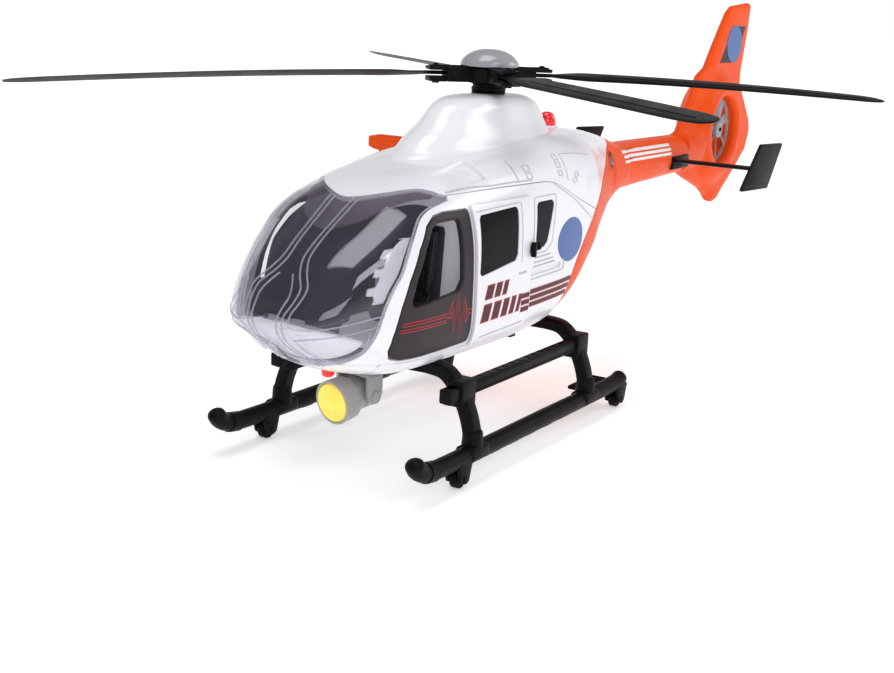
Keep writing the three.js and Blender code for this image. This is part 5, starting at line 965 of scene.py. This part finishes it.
# ------------------------------------------------------------ lights under and on top
solid('beacon', lathe_mesh([(0, 150.6), (3.9, 150.6), (3.9, 153.4), (5.1, 155.2), (5.25, 156), (5.25, 157.4), (5.05, 158.8), (4.5, 160.6), (3.4, 162.4), (1.8, 163.3), (0, 163.5)], 48, 'Z', (36.3, 0, 0)), 'red_lens', 'airframe', replaces='beacon_lens', slot='lens_red')
solid('beacon_base', lathe_mesh([(0, 152.6), (6.6, 152.6), (6.9, 153.4), (6.5, 155.3), (5.9, 155.8), (0, 155.8)], 48, 'Z', (36.3, 0, 0)), 'white', 'airframe', slot='shell_white')
solid('belly_light', lathe_mesh([(0, 48.9), (1.2, 49.0), (2.2, 49.4), (2.9, 50.1), (3.15, 51), (3.15, 55.8), (0, 55.8)], 40, 'Z', (239.5, 0, 0)), 'red_lens', 'airframe', replaces='belly_light_lens', slot='lens_red')
def tilt(V): return rot(rot(V, 'Y', 8, (214, 0, 36.2)), 'Z', -10, (214, 0, 36.2))
def pan(V): return rot(V, 'Z', -10, (214, 0, 36.2))
def mv(part, f): V, F = part; return f(np.asarray(V, float)), F
HEADP = [(0, 205.8), (2.6, 205.85), (4.2, 206.2), (6.0, 207.0), (7.2, 208.2), (8.0, 209.5), (8.4, 211)]
for x in (212.6, 214.6, 216.6): HEADP += [(8.45, x - 0.55), (8.05, x - 0.4), (8.05, x + 0.4), (8.45, x + 0.55)]
HEADP += [(8.7, 219.5), (9.4, 220.9), (10.2, 222.2), (10.7, 223), (10.9, 226.5), (10.5, 226.9), (10.5, 227.7), (10.95, 228.1), (11.1, 231.6), (10.9, 232.3), (10.4, 232.4), (9.95, 232.2), (9.85, 229.8), (0, 229.8)]
head = [mv(lathe_mesh(HEADP, 64, 'X', (0, 0, 36.2)), tilt)] + [mv(rcyl(1.7, s * 8.0, s * 12.2, 'Y', (214, 0, 36.2), 24, 0.3), tilt) for s in (1, -1)]
for k in range(10):
    a = 36 * k; V, F = rbox(208.6, -0.5, 7.6, 211.8, 0.5, 8.7, 0.25, 2); V = rot(V, 'X', a) + (0, 0, 36.2); head.append((tilt(V), F))
solid('spot_housing', head, 'lamp', 'lamp_head', replaces='spotlight_head', slot='lamp_grey')
LENS = [(0, 230.1), (9.6, 230.1), (9.6, 232.1), (9.0, 232.9), (8.4, 232.7), (7.8, 233.3), (7.0, 233.0), (6.4, 233.7), (5.6, 233.4), (4.9, 234.0), (4.1, 233.7), (3.4, 234.3), (2.6, 234.1), (1.6, 234.5), (0, 234.6)]
solid('spot_lens', [mv(lathe_mesh(LENS, 64, 'X', (0, 0, 36.2)), tilt)], 'yellow_lens', 'lamp_head', sharp=50, replaces='spotlight_lens', slot='lens_yellow')
yk = [rcyl(6.3, 46.6, 50.3, 'Z', (214, 0, 0), 48, 0.6), rcyl(3.4, 50.0, 56.2, 'Z', (214, 0, 0), 36, 0.3), rbox(208.6, -11.3, 45.6, 219.4, 11.3, 47.6, 0.7, 3)]
for s in (1, -1):
    y0, y1 = sorted((s * 9.2, s * 11.3)); yk += [prism(fillet([(209, 47.5), (219, 47.5), (219, 37.4), (217, 32.2), (211, 32.2), (209, 37.4)], [0.5, 0.5, 2, 3, 3, 2], 5), y0, y1, 'Y', 0.5), rcyl(2.7, s * 11.2, s * 12.0, 'Y', (214, 0, 36.2), 28, 0.3)]
solid('spot_yoke', [mv(p, pan) for p in yk], 'lamp', 'lamp_yoke', replaces='spotlight_yoke', slot='lamp_grey')

# ------------------------------------------------------------ winch
WARM = [(-30.4, 140.6), (-30.4, 148.4), (-68.6, 148.4), (-69.5, 147.6), (-69.5, 142.6), (-66.5, 141.4), (-54.6, 139.4), (-44, 140.0)]
Vw, Fw = prism(fillet(WARM, [0, 0, 1.2, 1.0, 1.0, 1.2, 4, 6], 5), 105.4, 114.6, 'X', 0.5)
cavV, cavF = prism([(-68.1, 130), (-68.1, 147), (-57.4, 147), (-57.4, 130)], 106.8, 113.2, 'X', 0.3)
Vw, Fw = cut(Vw, Fw, [(cavV, cavF), rcyl(1.2, 100, 108, 'X', (0, -62, 144.8), 32, 0.1)])
ridge = [rbox(107.6, -66.0, 148.2, 112.4, -36.0, 149.0, 0.35, 2), rbox(104.9, -55, 142.2, 105.6, -34, 146.4, 0.3, 2), rbox(114.4, -55, 142.2, 115.1, -34, 146.4, 0.3, 2)]
solid('winch_boom', [(Vw, Fw)] + ridge, 'orange', 'airframe', sharp=32, replaces='winch_arm', slot='shell_orange')
dr = [rcyl(0.95, 101.5, 113.4, 'X', (0, -62, 144.8), 32, 0.2), lathe_mesh([(0, 107.2), (2.05, 107.2), (2.05, 107.8), (1.6, 108.1)] + [(1.6 + 0.22 * (k % 2), 108.3 + 0.35 * k) for k in range(10)] + [(1.6, 111.8), (2.05, 112.1), (2.05, 112.7), (0, 112.7)], 40, 'X', (0, -62, 144.8))]
kn = lathe_mesh([(0, 100.8), (2.6, 100.8), (3.1, 101.2), (3.2, 101.8), (3.2, 104.0), (3.0, 104.7), (0, 104.9)], 40, 'X', (0, -62, 144.8)); dr.append(kn)
for k in range(12):
    V, F = rbox(101.4, -0.28, 2.9, 104.4, 0.28, 3.45, 0.15, 2); dr.append((rot(V, 'X', 30 * k) + (0, -62, 144.8), F))
solid('winch_reel', dr, 'black', 'drum', replaces='winch_drum', slot='plastic_black')
hp = [rbox(107.9, -66.4, 132.9, 112.1, -63.05, 134.7, 0.6, 3), rcyl(0.9, 134.5, 135.3, 'Z', (110, -64.7, 0), 24, 0.2)]
ringp = [(110 + 2.35 * math.cos(a), -64.7, 130.6 + 2.35 * math.sin(a)) for a in np.linspace(math.radians(-205), math.radians(95), 40)]
sc = [min(1, 0.45 + 0.55 * min(1, i / 5)) for i in range(40)]
hp.append(sweep(ringp, superoval(0.75, 1.0, 2, 16), up=(0, 1, 0), scale=sc))
solid('winch_hook_red', hp, 'hook', 'hook', replaces='winch_hook', slot='hook_red')
Vc = []; Fc = []; n, m = 61, 12
for j in range(n):
    z = 142.4 - (142.4 - 134.9) * j / (n - 1)
    for k in range(m): a = 2 * math.pi * k / m; r = 0.45 + 0.05 * math.sin(3 * a + j * 0.9); Vc.append((110 + r * math.cos(a), -64.7 + r * math.sin(a), z))
Fc = [(j * m + k, j * m + (k + 1) % m, (j + 1) * m + (k + 1) % m, (j + 1) * m + k) for j in range(n - 1) for k in range(m)] + [tuple(range(m))[::-1], tuple((n - 1) * m + k for k in range(m))]
Vc2, Fc2 = join([(np.array(Vc), Fc)])
me = bpy.data.meshes.new('winch_rope'); me.from_pydata((Vc2 * 0.001).tolist(), [], Fc2); me.materials.append(MATS['cord']); me.polygons.foreach_set('use_smooth', [True] * len(me.polygons)); me.update()
rope = bpy.data.objects.new('winch_rope', me); bpy.context.scene.collection.objects.link(rope)
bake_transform(rope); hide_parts('winch_cord')

# ------------------------------------------------------------ rotor
ROWS = [[25, 3.7, 1.1, 0], [34.4, 3.7, 1.1, 0], [40, 4.6, 1.2, 8], [58, 6.6, 1.1, 15], [120, 6.6, 0.9, 15], [185, 6.4, 0.75, 15], [228, 5.8, 0.65, 15], [240, 4.6, 0.55, 15], [245, 2.2, 0.4, 15]]
RW = [Pchip([r[0] for r in ROWS], [r[k] for r in ROWS]) for k in (1, 2, 3)]
AIRF = [(-1, 0.0), (-0.96, 0.45), (-0.82, 0.82), (-0.6, 1.0), (-0.3, 1.0), (0.05, 0.86), (0.4, 0.62), (0.7, 0.38), (0.93, 0.22), (1.0, 0.1), (1.0, -0.1), (0.93, -0.22), (0.7, -0.38), (0.4, -0.6), (0.05, -0.8), (-0.3, -0.92), (-0.6, -0.92), (-0.82, -0.75), (-0.96, -0.4)]
def blade(i):
    az = math.radians(BLADE_AZ[i]); er_ = np.array((math.cos(az), math.sin(az), 0)); ec = np.array((-math.sin(az), math.cos(az), 0)); V = []
    rs = list(np.linspace(25, 60, 22)) + list(np.linspace(62, 238, 66)) + [240, 241.5, 242.8, 243.8, 244.5, 244.9]
    m = len(AIRF)
    for r in rs:
        hc, ht, tw = [float(f(r)) for f in RW]; tw = math.radians(tw) * TWS; dz = -BLADE_DROOP[i] * max(0, (r - 30) / 215) ** 1.6
        for u, h in AIRF:
            c, b = u * hc, h * ht * 0.94
            V.append(er_ * r + ec * (c * math.cos(tw) - b * math.sin(tw)) + np.array((MAST_X, 0, BLADE_Z + dz + c * math.sin(tw) + b * math.cos(tw))))
    F = [(j * m + k, j * m + (k + 1) % m, (j + 1) * m + (k + 1) % m, (j + 1) * m + k) for j in range(len(rs) - 1) for k in range(m)] + [tuple(range(m))[::-1], tuple((len(rs) - 1) * m + k for k in range(m))]
    parts = [(np.array(V), F)]
    sp = []
    for r in np.linspace(64, 232, 60):
        hc, ht, tw = [float(f(r)) for f in RW]; tw = math.radians(tw) * TWS; dz = -BLADE_DROOP[i] * ((r - 30) / 215) ** 1.6; c, b = -0.18 * hc, ht * 0.9
        sp.append(er_ * r + ec * (c * math.cos(tw) - b * math.sin(tw)) + np.array((MAST_X, 0, BLADE_Z + dz + c * math.sin(tw) + b * math.cos(tw))))
    parts.append(sweep(sp, superoval(0.5, 0.28, 2, 8)))
    solid('blade_%d' % (i + 1), parts, 'black', 'rotor', sharp=38, replaces='rotor_blade_%d' % (i + 1), slot='plastic_black')
TWS = 1.0
for i in range(4): blade(i)
hub = [lathe_mesh([(0, 177.2), (8.6, 177.2), (9.2, 177.8), (9.2, 179.2), (8.5, 179.6), (8.5, 180.6), (9.4, 181.2), (12.0, 181.6), (12.5, 182.2), (12.5, 188.8), (11.9, 189.6), (0, 189.6)], 64, 'Z', (MAST_X, 0, 0))]
for i in range(4):
    g = [rbox(8, -5.2, 181.8, 24.9, 5.2, 189.6, 1.0, 3), rbox(24.5, -5.2, 187.7, 34, 5.2, 189.6, 0.6, 3), rbox(24.5, -5.2, 181.8, 34, 5.2, 184.5, 0.6, 3), rbox(12, -2.4, 189.3, 33, 2.4, 190.3, 0.4, 2), rbox(14.5, -5.9, 183.4, 23, 5.9, 188.0, 0.5, 2)]
    g += [rcyl(1.7, 189.4, 190.7, 'Z', (29.6, 0, 0), 24, 0.3), rcyl(1.2, 190.5, 191.1, 'Z', (29.6, 0, 0), 6, 0.2), rcyl(1.9, 180.9, 182.0, 'Z', (29.6, 0, 0), 24, 0.3)]
    a = BLADE_AZ[i]; hub += [(rot(V, 'Z', a) + (MAST_X, 0, 0), F) for V, F in g]
solid('rotor_head', hub, 'black', 'rotor', replaces='rotor_hub', slot='plastic_black')
solid('hub_dome_cap', lathe_mesh([(0, 190.1), (15.2, 190.1), (15.6, 190.4), (15.65, 191.0), (15.3, 192.2), (14.6, 193.4), (13.2, 195.0), (11.4, 196.4), (9.2, 197.6), (6.6, 198.5), (3.4, 199.05), (0, 199.2)], 72, 'Z', (MAST_X, 0, 0)), 'dome', 'rotor', replaces='hub_dome', slot='fan_grey')
solid('mast_shaft', [lathe_mesh([(0, 128.8), (3.9, 128.8), (3.9, 171.4), (5.2, 171.5), (5.6, 171.9), (5.6, 173.4), (5.1, 173.7), (5.1, 174.5), (5.6, 174.8), (5.6, 176.1), (5.2, 176.4), (3.9, 176.5), (3.9, 180.6), (0, 180.6)], 40, 'Z', (MAST_X, 0, 0))], 'black', 'rotor', replaces='rotor_mast', slot='plastic_black')

# ------------------------------------------------------------ prints: thin layers on the surfaces
def side_nrm(p): return hull_normal(p)
def decal(name, poly, mat, body, P=P_side, off=0.07, mirror=False, normal=None, spacing=3.0, step=2.0, slot='shell_white'):
    return sheet(name, dense(poly, step), P, mat, body, spacing=spacing, er=0.06, off=off, thick=off + 0.10 if off < 0.5 else 0.3, mirror=mirror, normal=normal)
def multi(name, polys, mat, body, P=P_side, off=0.07, mirror=False, normal=None, step=2.0, base=None, spacing=3.0):
    """Several print shapes as one piece."""
    allV, allF, allN, k = [], [], [], 0
    th = 0.17
    for poly in polys:
        V, F, loops, phi, dire, L, E = fill(dense(poly, step), [], spacing, [0.05]); p = P(V); n = hull_normal(p) if normal is None else normal(p, V)
        top = p + n * off; bot = p + n * (off - th); M = len(V)
        c3 = np.cross(top[F[:, 1]] - top[F[:, 0]], top[F[:, 2]] - top[F[:, 0]]); s = np.sign((c3 * n[F[:, 0]]).sum(1).mean())
        if s < 0: F = F[:, ::-1]
        fs = [tuple(f) for f in F] + [tuple(f[::-1] + M) for f in F]; nn = [n[i] for f in F for i in f] + [-n[i] for f in F for i in f[::-1]]
        for lp in loops:
            m = len(lp)
            for i in range(m):
                a, b = lp[i], lp[(i + 1) % m]; quad = (b, a, a + M, b + M) if s > 0 else (a, b, b + M, a + M); fs.append(quad); nn += [n[j % M] for j in quad]
        allV.append(np.concatenate([top, bot])); allF += [tuple(i + k for i in f) for f in fs]; allN += nn; k += 2 * M
    return make(name, np.concatenate(allV), allF, mat, body, normals=allN, mirror=mirror)
def bandp(x0, z0, x1, z1, w, cut0=0.0, cut1=0.0):
    h = w / 2; return [(x0 - cut0 * h, z0 - h), (x1 - cut1 * h, z1 - h), (x1 + cut1 * h, z1 + h), (x0 + cut0 * h, z0 + h)]
def zig(pts, w):
    p = np.array(pts, float); T = np.gradient(p, axis=0); n = len(p); L, R = [], []
    for i in range(n):
        a = p[i] - p[i - 1] if i else p[1] - p[0]; b = p[i + 1] - p[i] if i < n - 1 else a
        a, b = a / np.linalg.norm(a), b / np.linalg.norm(b); m = np.array((-(a + b)[1], (a + b)[0])); m /= max(np.linalg.norm(m), 1e-6); k = w / 2 / max(0.42, abs(m @ np.array((-a[1], a[0]))))
        L.append(p[i] + m * k); R.append(p[i] - m * k)
    return L + R[::-1]
def ell(cx, cz, a, b, n=64, a0=0, a1=360): return [(cx + a * math.cos(math.radians(t)), cz + b * math.sin(math.radians(t))) for t in np.linspace(a0, a1, n + 1)[:-1 if a1 - a0 >= 360 else None]]
def arcband(cx, cz, a, b, k, t0, t1, n=30): return ell(cx, cz, a, b, n, t0, t1) + ell(cx, cz, a * k, b * k, n, t0, t1)[::-1]
def emblem(pre, cx, cz, a, b, body, P, base, mirror, normal=None, st=1.2):
    """Plain disc in one colour, with nothing on it."""
    multi(pre + '_disc', [ell(cx, cz, a, b)], 'blue_print', body, P, base, mirror, normal, st)
PULSE = [(213.0, 81.4), (210.6, 81.2), (208.8, 85.4), (206.6, 75.6), (204.0, 89.2), (200.9, 71.2), (198.2, 85.8), (196.2, 78.2), (194.4, 81.0), (191.6, 80.4)]
for side, mir in (('left', False), ('right', True)):
    fd, sd = 'front_door_' + side, 'slide_door_' + side
    multi('door_stripe_red_' + side, [bandp(244.0, 81.8, 212.4, 81.8, 1.7, 0, 0), bandp(245.0, 78.9, 213.4, 78.9, 1.5), zig(PULSE, 2.5)], 'red_print', fd, off=0.07, mirror=mir)
    multi('door_stripe_dark_' + side, [bandp(243.6, 81.8, 212.8, 81.8, 0.85), bandp(244.6, 78.9, 213.8, 78.9, 0.7), zig(PULSE, 1.3)], 'maroon', fd, off=0.13, mirror=mir)
    # bars on the sliding door and behind it
    blocks = [(186.5, 178.6), (176.6, 169.4), (167.4, 161.4), (159.4, 154.6), (152.6, 149.0)]
    top = [[(a, 84.2), (a - 2.6, 91.4), (b - 2.6, 91.4), (b, 84.2)] for a, b in [(183.5, 176.2), (174.6, 168.6), (167.0, 162.4)]]
    low = [[(a, 73.4), (a - 3.0, 82.2), (b - 3.0, 82.2), (b, 73.4)] for a, b in blocks]
    def inset(ps, d): return [[tuple(v) for v in grow(p, -d)] for p in ps]
    multi('slide_bars_red_' + side, top + low + [bandp(147.0, z, 138.6, z, 2.7) for z in (80.4, 77.0, 73.6)], 'red_print', sd, off=2.07, mirror=mir)
    multi('slide_bars_dark_' + side, inset(top, 0.55) + inset(low, 0.6) + [bandp(146.6, z, 138.6, z, 1.9) for z in (80.4, 77.0, 73.6)], 'maroon', sd, off=2.13, mirror=mir)
    multi('side_bars_red_' + side, [bandp(136.2, 80.4, 83.6, 80.4, 2.7, 0, 0.85), bandp(136.2, 77.0, 86.2, 77.0, 2.7, 0, 0.85), bandp(136.2, 73.6, 88.9, 73.6, 2.7, 0, 0.85)], 'red_print', 'airframe', off=0.07, mirror=mir)
    multi('side_bars_dark_' + side, [bandp(136.2, 80.4, 84.4, 80.4, 1.9, 0, 0.85), bandp(136.2, 77.0, 87.0, 77.0, 1.9, 0, 0.85), bandp(136.2, 73.6, 89.7, 73.6, 1.9, 0, 0.85)], 'maroon', 'airframe', off=0.13, mirror=mir)
    emblem('emblem_' + side, 88.0, 101.8, 17.2, 11.8, 'airframe', P_side, 0.07, mir)
    # boom and fin
    tn = lambda p, V: Hn(V)
    multi('boom_stripes_' + side, [[(-41.0, z - 0.85), (-120.0, z - 1.45), (-120.0, z + 0.25), (-41.0, z + 0.85)] for z in (135.8, 132.9, 130.0)], 'white_print', 'airframe', P_tail, 0.08, mir, tn)
    multi('fin_panel_black_' + side, [[(-216.0, 187.0), (-246.0, 187.0), (-262.0, 213.0), (-238.0, 213.0)]], 'black_print', 'airframe', P_tail, 0.14, mir, tn, spacing=1.8, step=1.2)
    emblem('fin_emblem_' + side, -241.9, 200.2, 14.6, 13.2, 'airframe', P_tail, 0.32, mir, tn)

    # handle, hinge lines and raised lines; the raised lines are grey as painted shade along them
    hp = [rbox(138.4, 50.9, 99.8, 140.9, 53.4, 107.4, 0.6, 3), rbox(132.4, 50.6, 102.6, 138.9, 52.5, 106.8, 0.6, 3), rbox(137.9, 49.6, 101.6, 140.5, 51.6, 105.4, 0.4, 2), rcyl(1.5, 52.3, 53.2, 'Y', (134.6, 0, 104.7), 24, 0.3)]
    solid('pull_handle_' + side, hp, 'black', 'slide_door_' + side, mirror=mir, replaces='door_handle_' + side, slot='plastic_black')
    O2 = lambda q: P_side(q) + hull_normal(P_side(q)) * 2.0
    lines = [([(148.4, 127.6), (188.0, 126.4)], 2), ([(148.4, 127.6), (148.4, 97.8)], 2)]
    solid('slide_lines_' + side, [ribbon(O2, p, 0.55, 0.22) for p, _ in lines] + [ribbon(O2, [(150.5, 92.6), (143.5, 92.6)], 1.0, 0.35), ribbon(O2, [(184, 66.6), (143, 67.4)], 0.6, 0.25)], 'line', 'slide_door_' + side, mirror=mir, slot='shell_white')
    st = []
    FR = fillet([(107.8, 128.2), (132.0, 128.2), (133.8, 100), (119.0, 99.6), (112.6, 103.4)], 2, 3); FRd = [tuple(p) for p in FR] + [tuple(FR[0])]
    st.append(ribbon(P_side, FRd, 0.55, 0.22))
    for z, a, b in ((97.6, 131, 113), (95.2, 132, 110.5), (93.0, 133, 108)): st.append(ribbon(P_side, [(a, z), (b, z)], 0.7, 0.32))
    st.append(ribbon(P_side, [(136.0, 86.9), (103.0, 86.9)], 0.6, 0.3)); st.append(ribbon(P_side, [(96.8, 93.2), (96.8, 87.2), (104, 86.9)], 0.6, 0.3))
    st.append(ribbon(P_side, [(108.9, 133.2), (84, 122.6), (62, 112), (50.5, 107.2)], 0.6, 0.24))
    solid('side_lines_' + side, st, 'line', 'airframe', mirror=mir, slot='shell_white')
    sheet('guide_channel_' + side, dense([(99.2, 87.4), (147.6, 87.4), (147.6, 92.6), (99.2, 92.6)], 2), P_side, 'white', 'airframe', spacing=2.5, er=0.1, off=-1.3, thick=1.0, mirror=mir)
    # Black print in the notch of the sill under the sliding door: painted shade for the hollow of the notch.
    multi('sill_notch_shade_' + side, [[(184.6, 60.9), (172.4, 60.6), (173.6, 62.2), (184.6, 62.3)]], 'black_print', 'airframe', lambda q: np.column_stack([q[:, 0], half(q[:, 0], q[:, 1]), q[:, 1]]), 0.10, mir)

# roof lines and small squares, grey as painted shade along the raised lines
def TPt(x, y): return (x, v_of_y(x, y, True))
def TPz(x, z): return (x, v_of_z(x, z, True))
roof = []
sq = lambda x, z, a, b: [TPz(x, z), TPz(x - a, z), TPz(x - a, z + b), TPz(x, z + b), TPz(x, z)]
for x, z in ((133.6, 137.6), (133.4, 141.2)): roof.append(ribbon(P_top, sq(x, z, 5.0, 2.6), 0.45, 0.24, step=1.2))
for x, z in ((101.5, 136.6), (101.0, 140.6), (100.4, 144.2), (84.5, 131.6), (81.0, 134.4)): roof.append(ribbon(P_top, sq(x, z, 4.4, 2.4), 0.45, 0.24, step=1.2))
roof.append(ribbon(P_top, [TPz(142.6, 136.4), TPz(142.6, 146.5)], 0.6, 0.28)); roof.append(ribbon(P_top, [TPz(91.5, 133.4), TPz(91.5, 146.6), TPz(52, 143)], 0.5, 0.22))
roof.append(ribbon(P_top, [TPz(200, 136.2), TPz(166, 136.9), TPz(130, 136.7)], 0.7, 0.35))
solid('roof_lines', both_sides(roof), 'line', 'airframe', slot='shell_white')
# slits at the back of the fairing and the exhausts beside the boom; the black slit pieces and exhaust mouths are
# painted shade for their hollows
sl = []
for z, t, a, b in ((161.5, 2.62, 1.0, 3.0), (157.0, 2.74, 0.9, 2.0)):
    c = on_fair(z, t); sl.append((rot(np.array(rbox(-0.5, -a / 2, -b / 2, 0.5, a / 2, b / 2, 0.2, 2)[0]), 'Z', -math.degrees(math.pi - t) * 0.85) + c, rbox(-0.5, -a / 2, -b / 2, 0.5, a / 2, b / 2, 0.2, 2)[1]))
solid('fairing_slit_shade', both_sides(sl), 'black_gloss', 'airframe', slot='plastic_black')
exh = []
for s in (1,):
    q = np.array(ell(-13.5, 133.6, 4.6, 4.9, 40)); exh.append(q)
for side, mir in (('left', False), ('right', True)):
    multi('exhaust_rim_' + side, [ell(-14.0, 133.8, 6.4, 6.0, 48)], 'orange', 'airframe', P_tail, 0.30, mir, lambda p, V: Hn(V), 1.2, spacing=2)
    # Flat black disc in each exhaust: painted shade for the hollow of the exhaust mouth.
    multi('exhaust_mouth_shade_' + side, [ell(-14.0, 133.8, 5.2, 4.9, 48)], 'black_gloss', 'airframe', P_tail, 0.38, mir, lambda p, V: Hn(V), 1.2, spacing=2)

# ------------------------------------------------------------ seats
SEATP = [(193, 72.8), (214.5, 72.8), (217, 77), (221.5, 82.5), (220.5, 86.6), (205.5, 84.6), (203, 88), (198.5, 116), (196.8, 119.4), (192.8, 119), (191.6, 116), (194, 84), (191.2, 75)]
parts = []
for s in (1, -1):
    a, b = (6, 32) if s > 0 else (-32, -6); parts.append(prism(fillet(SEATP, 1.6, 4), a, b, 'Y', 0.9, 3))
    for k in range(9):
        z = 90.5 + 3.1 * k; x = np.interp(z, [88, 116], [203, 198.5]); parts.append(rbox(x - 1.5, a + 3.4, z, x + 0.85, b - 3.4, z + 1.7, 0.5, 2))
    for y in (a + 1.6, b - 1.6): parts.append(sweep([(np.interp(z, [88, 116], [203.3, 198.8]), y, z) for z in np.linspace(88, 117, 16)], superoval(1.3, 1.3, 2, 12)))
    for k in range(4): parts.append(rbox(206.5 + 3.4 * k, a + 3.4, 84.4 + 0.45 * k, 208.7 + 3.4 * k, b - 3.4, 86.3 + 0.45 * k, 0.5, 2))
solid('seat_pair', parts, 'seat', 'airframe', replaces='cockpit_seats', slot='seat_black')

# ------------------------------------------------------------ floor, light and camera
def floor():
    t = NT('pale_floor'); b = t.n('ShaderNodeBsdfPrincipled'); t.link(b.outputs[0], t.out.inputs['Surface'])
    t.link(t.ramp(t.noise(3, 2), [(0.3, (0.93, 0.93, 0.93)), (0.7, (0.96, 0.96, 0.96))]), b.inputs['Base Color']); b.inputs['Roughness'].default_value = 0.6; b.inputs['Specular IOR Level'].default_value = 0.1; b.inputs['Emission Color'].default_value = (1, 1, 1, 1); tc = t.n('ShaderNodeTexCoord'); ln = t.n('ShaderNodeVectorMath'); ln.operation = 'LENGTH'; t.link(tc.outputs['Object'], ln.inputs[0]); t.link(t.maprange(ln.outputs['Value'], 0.7, 2.6, 0.42, 0.85), b.inputs['Emission Strength'])
    me = bpy.data.meshes.new('floor'); r = 14.0
    me.from_pydata([(-r, -r, -0.0002), (r, -r, -0.0002), (r, r, -0.0002), (-r, r, -0.0002)], [], [(0, 1, 2, 3)]); me.materials.append(t.m)
    o = bpy.data.objects.new('floor', me); bpy.context.scene.collection.objects.link(o)
floor()

def area(name, loc, target, sx, sy, power, col=(1, 1, 1)):
    l = bpy.data.lights.new(name, 'AREA'); l.shape = 'RECTANGLE'; l.size = sx; l.size_y = sy; l.energy = power; l.color = col
    o = bpy.data.objects.new(name, l); o.location = loc
    d = Vector(target) - Vector(loc); o.rotation_euler = d.to_track_quat('-Z', 'Y').to_euler(); bpy.context.scene.collection.objects.link(o); return o
area('overhead', (0.28, -0.12, 1.40), (0.28, -0.12, 0.1), 0.85, 0.70, 7.2)
area('side_top', (0.52, 0.80, 1.05), (0.18, 0.02, 0.12), 0.50, 0.26, 2.0)
area('key', (1.30, 1.20, 0.80), (0.10, 0, 0.1), 0.7, 0.6, 4.0)
area('back', (-0.9, 0.9, 0.8), (-0.1, 0, 0.12), 0.7, 0.5, 3.0)
w = bpy.data.worlds.new('studio'); bpy.context.scene.world = w; w.use_nodes = True; wt = w.node_tree
tc = wt.nodes.new('ShaderNodeTexCoord'); sep = wt.nodes.new('ShaderNodeSeparateXYZ'); mr = wt.nodes.new('ShaderNodeMapRange')
mr.inputs['From Min'].default_value = 0.02; mr.inputs['From Max'].default_value = 0.42; mr.inputs['To Min'].default_value = 1.0; mr.inputs['To Max'].default_value = 0.33
wt.links.new(tc.outputs['Generated'], sep.inputs[0]); wt.links.new(sep.outputs['Z'], mr.inputs['Value']); wt.links.new(mr.outputs['Result'], wt.nodes['Background'].inputs[1])
wt.nodes['Background'].inputs[0].default_value = (1, 1, 1, 1)

cam = bpy.data.cameras.new('camera'); co = bpy.data.objects.new('camera', cam); bpy.context.scene.collection.objects.link(co)
cam.sensor_width = 36; cam.lens = 54.44; cam.clip_start = 0.01; cam.clip_end = 50
CR, CU, CF = Vector((-0.53410, 0.84430, 0.04349)), Vector((-0.18319, -0.16580, 0.96900)), Vector((-0.82533, -0.50958, -0.24322))
mw = Matrix((CR, CU, -CF)).transposed().to_4x4(); mw.translation = Vector((0.7309, 0.36815, 0.22445)); co.matrix_world = mw
bpy.context.scene.camera = co
vs = bpy.context.scene.view_settings; vs.view_transform = 'Standard'; vs.look = 'None'; vs.exposure = 0.0

bpy.context.view_layer.update()
